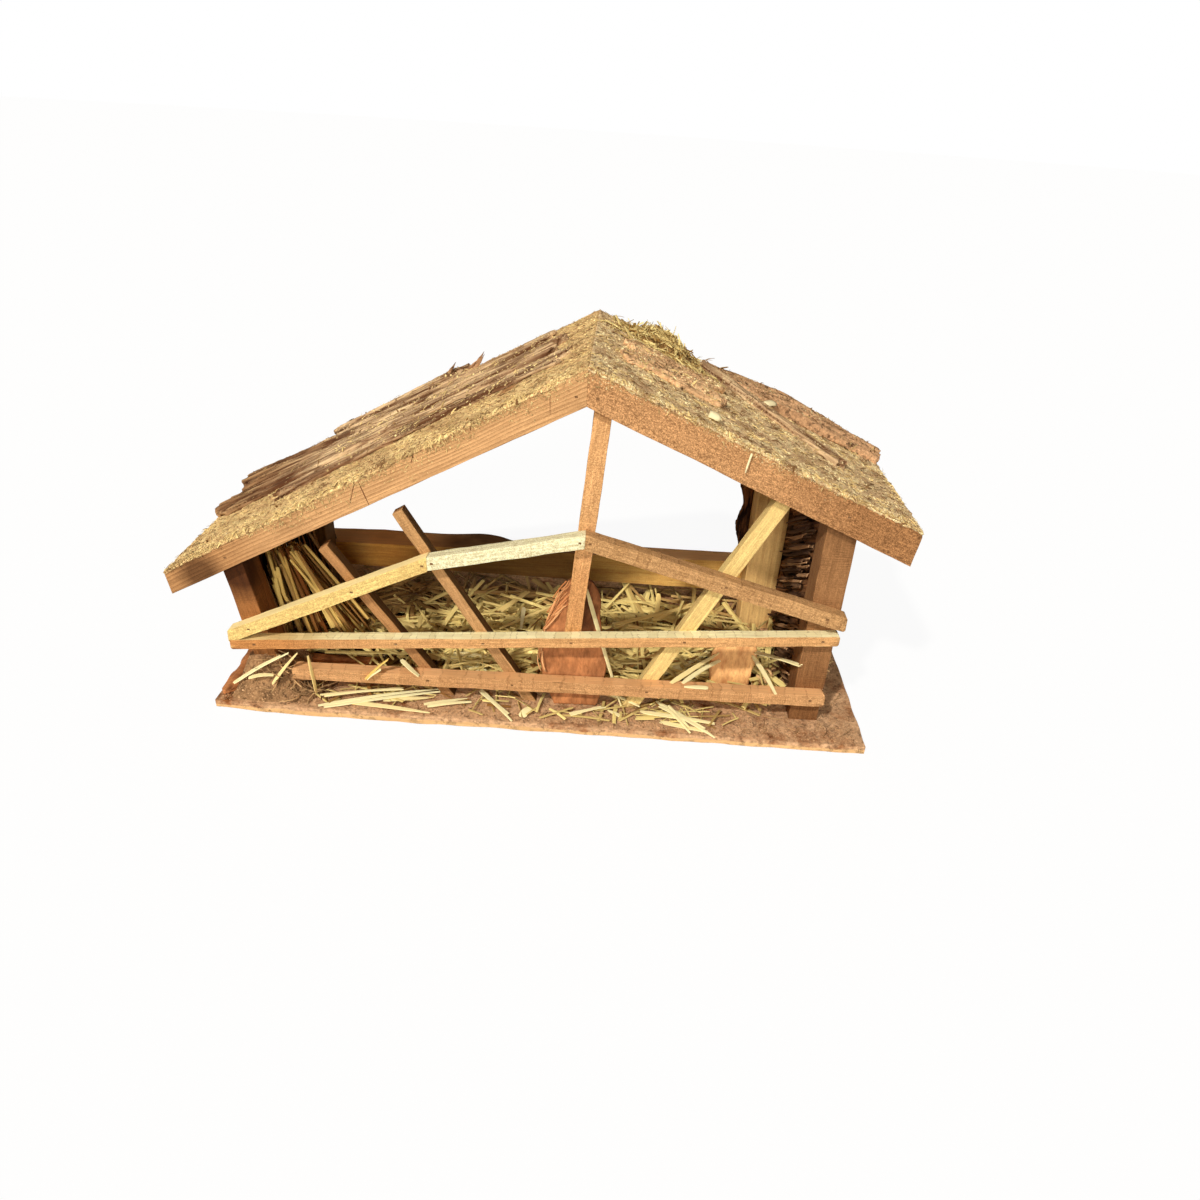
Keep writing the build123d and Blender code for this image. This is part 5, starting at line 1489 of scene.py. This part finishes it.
    def place_one_by_one(self, litter, rng):
        """Laid and standing straws and the strands on the chunk."""
        shape = bmesh.new()
        for start, end, width, tint in LAID:
            self.split_straw(shape, rng, at(*start), at(*end), width, tint)
        laid = to_mesh("laid_straw", shape)
        laid.set_sharp_from_angle(angle=STRAW_CREASE)
        lined = tint_material("laid_straw", tone(255, 250, 200), tone(250, 208, 104), 0.3, 0.5)
        new_piece("laid_straw", laid, lined)
        shape = bmesh.new()
        self.bundle(shape, rng)
        stems = to_mesh("standing_straw", shape)
        stems.set_sharp_from_angle(angle=STRAW_CREASE)
        frayed = tint_material("chunk_strands", tone(255, 200, 140), tone(196, 120, 66), 0.4, 0.7)
        new_piece("chunk_strands", self.strands(random.Random(litter.seed + 8)), frayed)
        stem_look = tint_material("standing_straw", tone(255, 222, 132), tone(128, 70, 22), 0.5, 0.5)
        new_piece("standing_straw", stems, stem_look)

    def sprinkle(self, litter, rng):
        """Sawdust in the corner, and crumbs and fibres over the floor."""
        corner = dust_material("corner_dust", tone(156, 120, 84), 800.0, 0.4)
        new_piece("corner_dust", self.drift(), corner)
        crumbs = crumb_shapes(rng)
        floor = surface(built("base_board_wood", "straw_mat", "corner_dust"))
        grains = []
        while len(grains) < litter.floor_crumbs:
            x = rng.uniform(-160, 160)
            y = rng.uniform(0.5, 153) if rng.random() < 0.5 else abs(rng.gauss(0, 12)) + 0.5
            place, normal, _, _ = floor.ray_cast(at(x, y, DROP_HEIGHT), DOWN)
            if place is None:
                continue
            size = rng.uniform(0.4, 1.3) * MM
            turn = lying(normal, rng.uniform(0, math.tau))
            grains.append((place, turn, (size, size, size), rng.randrange(5), rng.random()))
        dust = tint_material("floor_crumbs", tone(208, 166, 122), tone(140, 102, 68), 0.1, 0.95)
        new_piece("floor_crumbs", scatter("floor_crumbs", crumbs, grains, dust))
        hairs = []
        while len(hairs) < litter.floor_fibres:
            x, y = rng.uniform(-158, 158), rng.uniform(1.5, 150)
            place, normal, _, _ = floor.ray_cast(at(x, y, DROP_HEIGHT), DOWN)
            if place is None:
                continue
            size = rng.uniform(3, 11) * MM
            turn = lying(normal, rng.uniform(0, math.tau))
            hairs.append((place, turn, (size, 0.6 * size, 0.5 * size), rng.randrange(6), rng.random()))
        for (x, y), (wide, deep), number_of, longest in HAIRS:
            for _ in range(number_of):
                east, north = x + rng.gauss(0, wide), max(2.0, y + rng.gauss(0, deep))
                place = at(east, north, drift_height(east, north) + rng.uniform(0.3, 2.5))
                size = rng.uniform(0.35, 1.0) * longest * MM
                turn = (rng.gauss(0, 0.2), rng.gauss(0, 0.15), rng.uniform(0, math.tau))
                hairs.append((place, turn, (size, size, 0.6 * size), rng.randrange(6), rng.random()))
        hair = tint_material("floor_fibres", tone(224, 182, 128), tone(96, 64, 38), 0.2, 0.9)
        new_piece("floor_fibres", scatter("floor_fibres", fibre_shapes(rng), hairs, hair))

    def execute(self, context):
        litter = self.looks(context)[2]
        rng = random.Random(litter.seed + 1)
        self.strew(litter, rng)
        self.place_one_by_one(litter, rng)
        self.sprinkle(litter, rng)
        return {'FINISHED'}


class STABLE_OT_fibres(StableOperator, bpy.types.Operator):
    """Hang bast along the walls and raise splinters on the roof"""
    bl_idname = "stable.fibres"
    bl_label = "Bast and splinters"

    def bast(self, rng):
        """Strips that hang on the left wall, and curls by the right post and chunk."""
        shape = bmesh.new()
        for _ in range(WALL_STRIPS):
            y = rng.uniform(34, 112)
            top = at(-147.4 + rng.uniform(0, 2.5), y, rng.uniform(40, 76))
            foot = at(-146 + rng.uniform(0, 14), y + rng.uniform(-6, 14), rng.uniform(2, 26))
            path = bent(top, foot, 0, 7, rng.uniform(-3, 3) * MM)
            width = rng.uniform(0.8, 2.8) * MM
            widths = [width * (0.5 + 0.5 * math.sin(math.pi * (i + 1) / 9)) for i in range(8)]
            strip(shape, path, widths, 0.35 * MM, WIDE, 0.6, tint=rng.random())
        for number_of, corner, reach, breadth, sags, steps, thickness, bow, tints in CURLS:
            for _ in range(number_of):
                start = at(*[rng.uniform(*limits) for limits in corner])
                end = start + Vector([rng.uniform(*limits) for limits in reach]) * MM
                width = rng.uniform(*breadth) * MM
                path = bent(start, end, rng.uniform(*sags) * MM, steps)
                strip(shape, path, [width] * steps + [0.4 * width], thickness * MM, UPRIGHT, bow,
                      tint=rng.uniform(*tints))
        return to_mesh("wall_bast", shape)

    def plates(self, rng):
        """Thin plates over the slabs of the right wall."""
        shape = bmesh.new()
        for index in range(WALL_PLATES):
            start = at(127.2 - rng.uniform(0, 1.8), rng.uniform(30, 62),
                       8 + 90 * (index + rng.random()) / WALL_PLATES)
            end = start + SLOPING * rng.uniform(24, 50) * MM + WIDE * rng.uniform(-0.8, 0.4) * MM
            end.z = max(end.z, TOP + 1 * MM)
            width = rng.uniform(0.5, 2.2) * MM
            widths = [width * rng.uniform(0.6, 1.1) for _ in range(6)] + [0.3 * width]
            path = bent(start, end, rng.uniform(-1, 1) * MM, 6)
            strip(shape, path, widths, 0.5 * MM, Vector((-1, 0, 0.55)), 0.4,
                  tint=rng.uniform(0.5, 1.0) if rng.random() < 0.3 else rng.uniform(0.0, 0.25))
        mesh = to_mesh("wall_plates", shape)
        mesh.set_sharp_from_angle(angle=PLATE_CREASE)
        return mesh

    def splinters(self, rng):
        """Splinters that stand up from the bark of the left slope."""
        shape = bmesh.new()
        for along, depth, lift, reach, width, rise in SPLINTERS:
            start = slope_place("left", along, depth, lift)
            end = slope_place("left", along - reach, depth + rng.uniform(-2, 2), lift + rise)
            widths = [width * MM * part for part in (1.0, 0.9, 0.8, 0.5, 0.45, 0.2, 0.05)]
            strip(shape, bent(start, end, -0.8 * MM, 6), widths, 1.0 * MM, DEEP, 0.6, tint=rng.random())
        return to_mesh("roof_splinters", shape)

    def scratches(self):
        """Short marks on the front of the gable boards."""
        shape = bmesh.new()
        for start, end, width in SCRATCHES:
            path = bent(at(start[0], SCRATCH_DEPTH, start[1]), at(end[0], SCRATCH_DEPTH, end[1]), 0, 4)
            widths = [0.6 * width * MM * part for part in (0.3, 0.9, 1.0, 0.8, 0.2)]
            strip(shape, path, widths, 0.25 * MM, DEEP, tint=0.3)
        return to_mesh("board_scratches", shape)

    def chips(self):
        """Pale chips of straw on the right slope."""
        shape = bmesh.new()
        for start, end, width in CHIPS:
            path = bent(at(*start), at(*end), 0.4 * MM, 4)
            widths = [width * MM] * 4 + [0.6 * width * MM]
            strip(shape, path, widths, 0.7 * MM, Vector((0, -0.6, 0.8)), 0.5, tint=0.9)
        return to_mesh("pale_chips", shape)

    def execute(self, context):
        litter = self.looks(context)[2]
        rng = random.Random(litter.seed + 2)
        look = tint_material("bast", tone(236, 196, 138), tone(150, 98, 54), 0.5, 0.7)
        new_piece("wall_bast", self.bast(rng), look)
        look = tint_material("wall_plates", tone(226, 176, 128), tone(66, 38, 20), 0.7, 0.85)
        new_piece("wall_plates", self.plates(rng), look)
        look = tint_material("scratches", tone(150, 104, 66), tone(112, 72, 44), 0.2, 0.9)
        new_piece("board_scratches", self.scratches(), look)
        new_piece("pale_chips", self.chips(), bpy.data.materials["straw"])
        look = tint_material("splinters", tone(220, 172, 126), tone(136, 92, 60), 0.6, 0.85)
        new_piece("roof_splinters", self.splinters(rng), look)
        return {'FINISHED'}


class STABLE_OT_stage(StableOperator, bpy.types.Operator):
    """Set the camera, the light and the pale floor"""
    bl_idname = "stable.stage"
    bl_label = "Stage"

    def execute(self, context):
        stage = self.looks(context)[3]
        scene = context.scene
        lens = bpy.data.cameras.new("view")
        lens.lens, lens.sensor_width, lens.clip_start = LENS, SENSOR, NEAR_CLIP
        eye = bpy.data.objects.new("view", lens)
        scene.collection.objects.link(eye)
        axes = Matrix((Vector(EYE_RIGHT), -Vector(EYE_DOWN), -Vector(EYE_AHEAD))).transposed().to_4x4()
        eye.matrix_world = Matrix.Translation(Vector(EYE) * MM) @ axes
        scene.camera = eye
        for name, strength, width, way in (("key", stage.key, stage.softness, KEY_WAY),
                                           ("front", stage.front, FRONT_WIDTH, FRONT_WAY),
                                           ("top", stage.top, TOP_WIDTH, TOP_WAY)):
            sun = bpy.data.lights.new(name, 'SUN')
            sun.energy, sun.angle, sun.color = strength, width, stage.key_colour
            lamp = bpy.data.objects.new(name, sun)
            lamp.matrix_world = Vector(way).to_track_quat('-Z', 'Y').to_matrix().to_4x4()
            scene.collection.objects.link(lamp)
        self.world(scene, stage)
        self.floor(scene, stage)
        scene.view_settings.view_transform = 'Standard'
        return {'FINISHED'}

    def world(self, scene, stage):
        """Soft light from all round, which the camera sees as white."""
        world = bpy.data.worlds.new("studio")
        world.use_nodes = True
        scene.world = world
        tree = world.node_tree
        rays = put(tree, 'ShaderNodeLightPath').outputs
        strength = put(tree, 'ShaderNodeMix', {0: rays["Is Camera Ray"], 2: stage.fill, 3: 1.0},
                       data_type='FLOAT')
        back = tree.nodes["Background"]
        tint = blend(tree, rays["Is Camera Ray"], stage.fill_colour, (1.0, 1.0, 1.0))
        tree.links.new(tint, back.inputs["Color"])
        tree.links.new(strength.outputs[0], back.inputs["Strength"])

    def floor(self, scene, stage):
        """A round floor that the camera sees almost as plain white."""
        shape = bmesh.new()
        bmesh.ops.create_circle(shape, cap_ends=True, segments=64, radius=FLOOR_RADIUS)
        floor = bpy.data.objects.new("floor", to_mesh("floor", shape))
        floor.location.z = BASE_LOW.z - FLOOR_GAP
        scene.collection.objects.link(floor)
        made, tree, shader = start_material("floor", 0.9)
        shader.inputs["Base Color"].default_value = (*stage.floor, 1)
        rays = put(tree, 'ShaderNodeLightPath').outputs
        glow = put(tree, 'ShaderNodeEmission', {'Color': (1, 1, 1, 1), 'Strength': 1.0}).outputs[0]
        share = math_node(tree, 'MULTIPLY', rays["Is Camera Ray"], FLOOR_GLOW)
        mixed = put(tree, 'ShaderNodeMixShader', {0: share, 1: shader.outputs[0], 2: glow}).outputs[0]
        tree.links.new(mixed, tree.nodes["Material Output"].inputs["Surface"])
        floor.data.materials.append(made)


class STABLE_PT_panel(bpy.types.Panel):
    """Sidebar panel of the stable"""
    bl_idname = "STABLE_PT_panel"
    bl_label = "Nativity stable"
    bl_space_type = 'VIEW_3D'
    bl_region_type = 'UI'
    bl_category = "Stable"

    def draw(self, context):
        for name in ("stable_wood", "stable_bark", "stable_litter", "stable_stage"):
            group = getattr(context.scene, name)
            box = self.layout.box()
            for key in group.__annotations__:
                box.prop(group, key)
        for operator in OPERATORS:
            self.layout.operator(operator.bl_idname)


GROUPS = (("stable_wood", StableWood), ("stable_bark", StableBark), ("stable_litter", StableLitter),
          ("stable_stage", StableStage))
OPERATORS = (STABLE_OT_stage, STABLE_OT_wood, STABLE_OT_bark, STABLE_OT_sawdust, STABLE_OT_roof_litter,
             STABLE_OT_clump, STABLE_OT_straw, STABLE_OT_fibres)


def register():
    for name, group in GROUPS:
        bpy.utils.register_class(group)
        setattr(bpy.types.Scene, name, bpy.props.PointerProperty(type=group))
    for operator in OPERATORS:
        bpy.utils.register_class(operator)
    bpy.utils.register_class(STABLE_PT_panel)


def unregister():
    bpy.utils.unregister_class(STABLE_PT_panel)
    for operator in reversed(OPERATORS):
        bpy.utils.unregister_class(operator)
    for name, group in reversed(GROUPS):
        delattr(bpy.types.Scene, name)
        bpy.utils.unregister_class(group)


def main():
    register()
    for operator in OPERATORS:
        space, name = operator.bl_idname.split(".")
        if getattr(getattr(bpy.ops, space), name)() != {'FINISHED'}:
            raise RuntimeError("stopped at " + operator.bl_label)


if __name__ == "__main__":
    main()
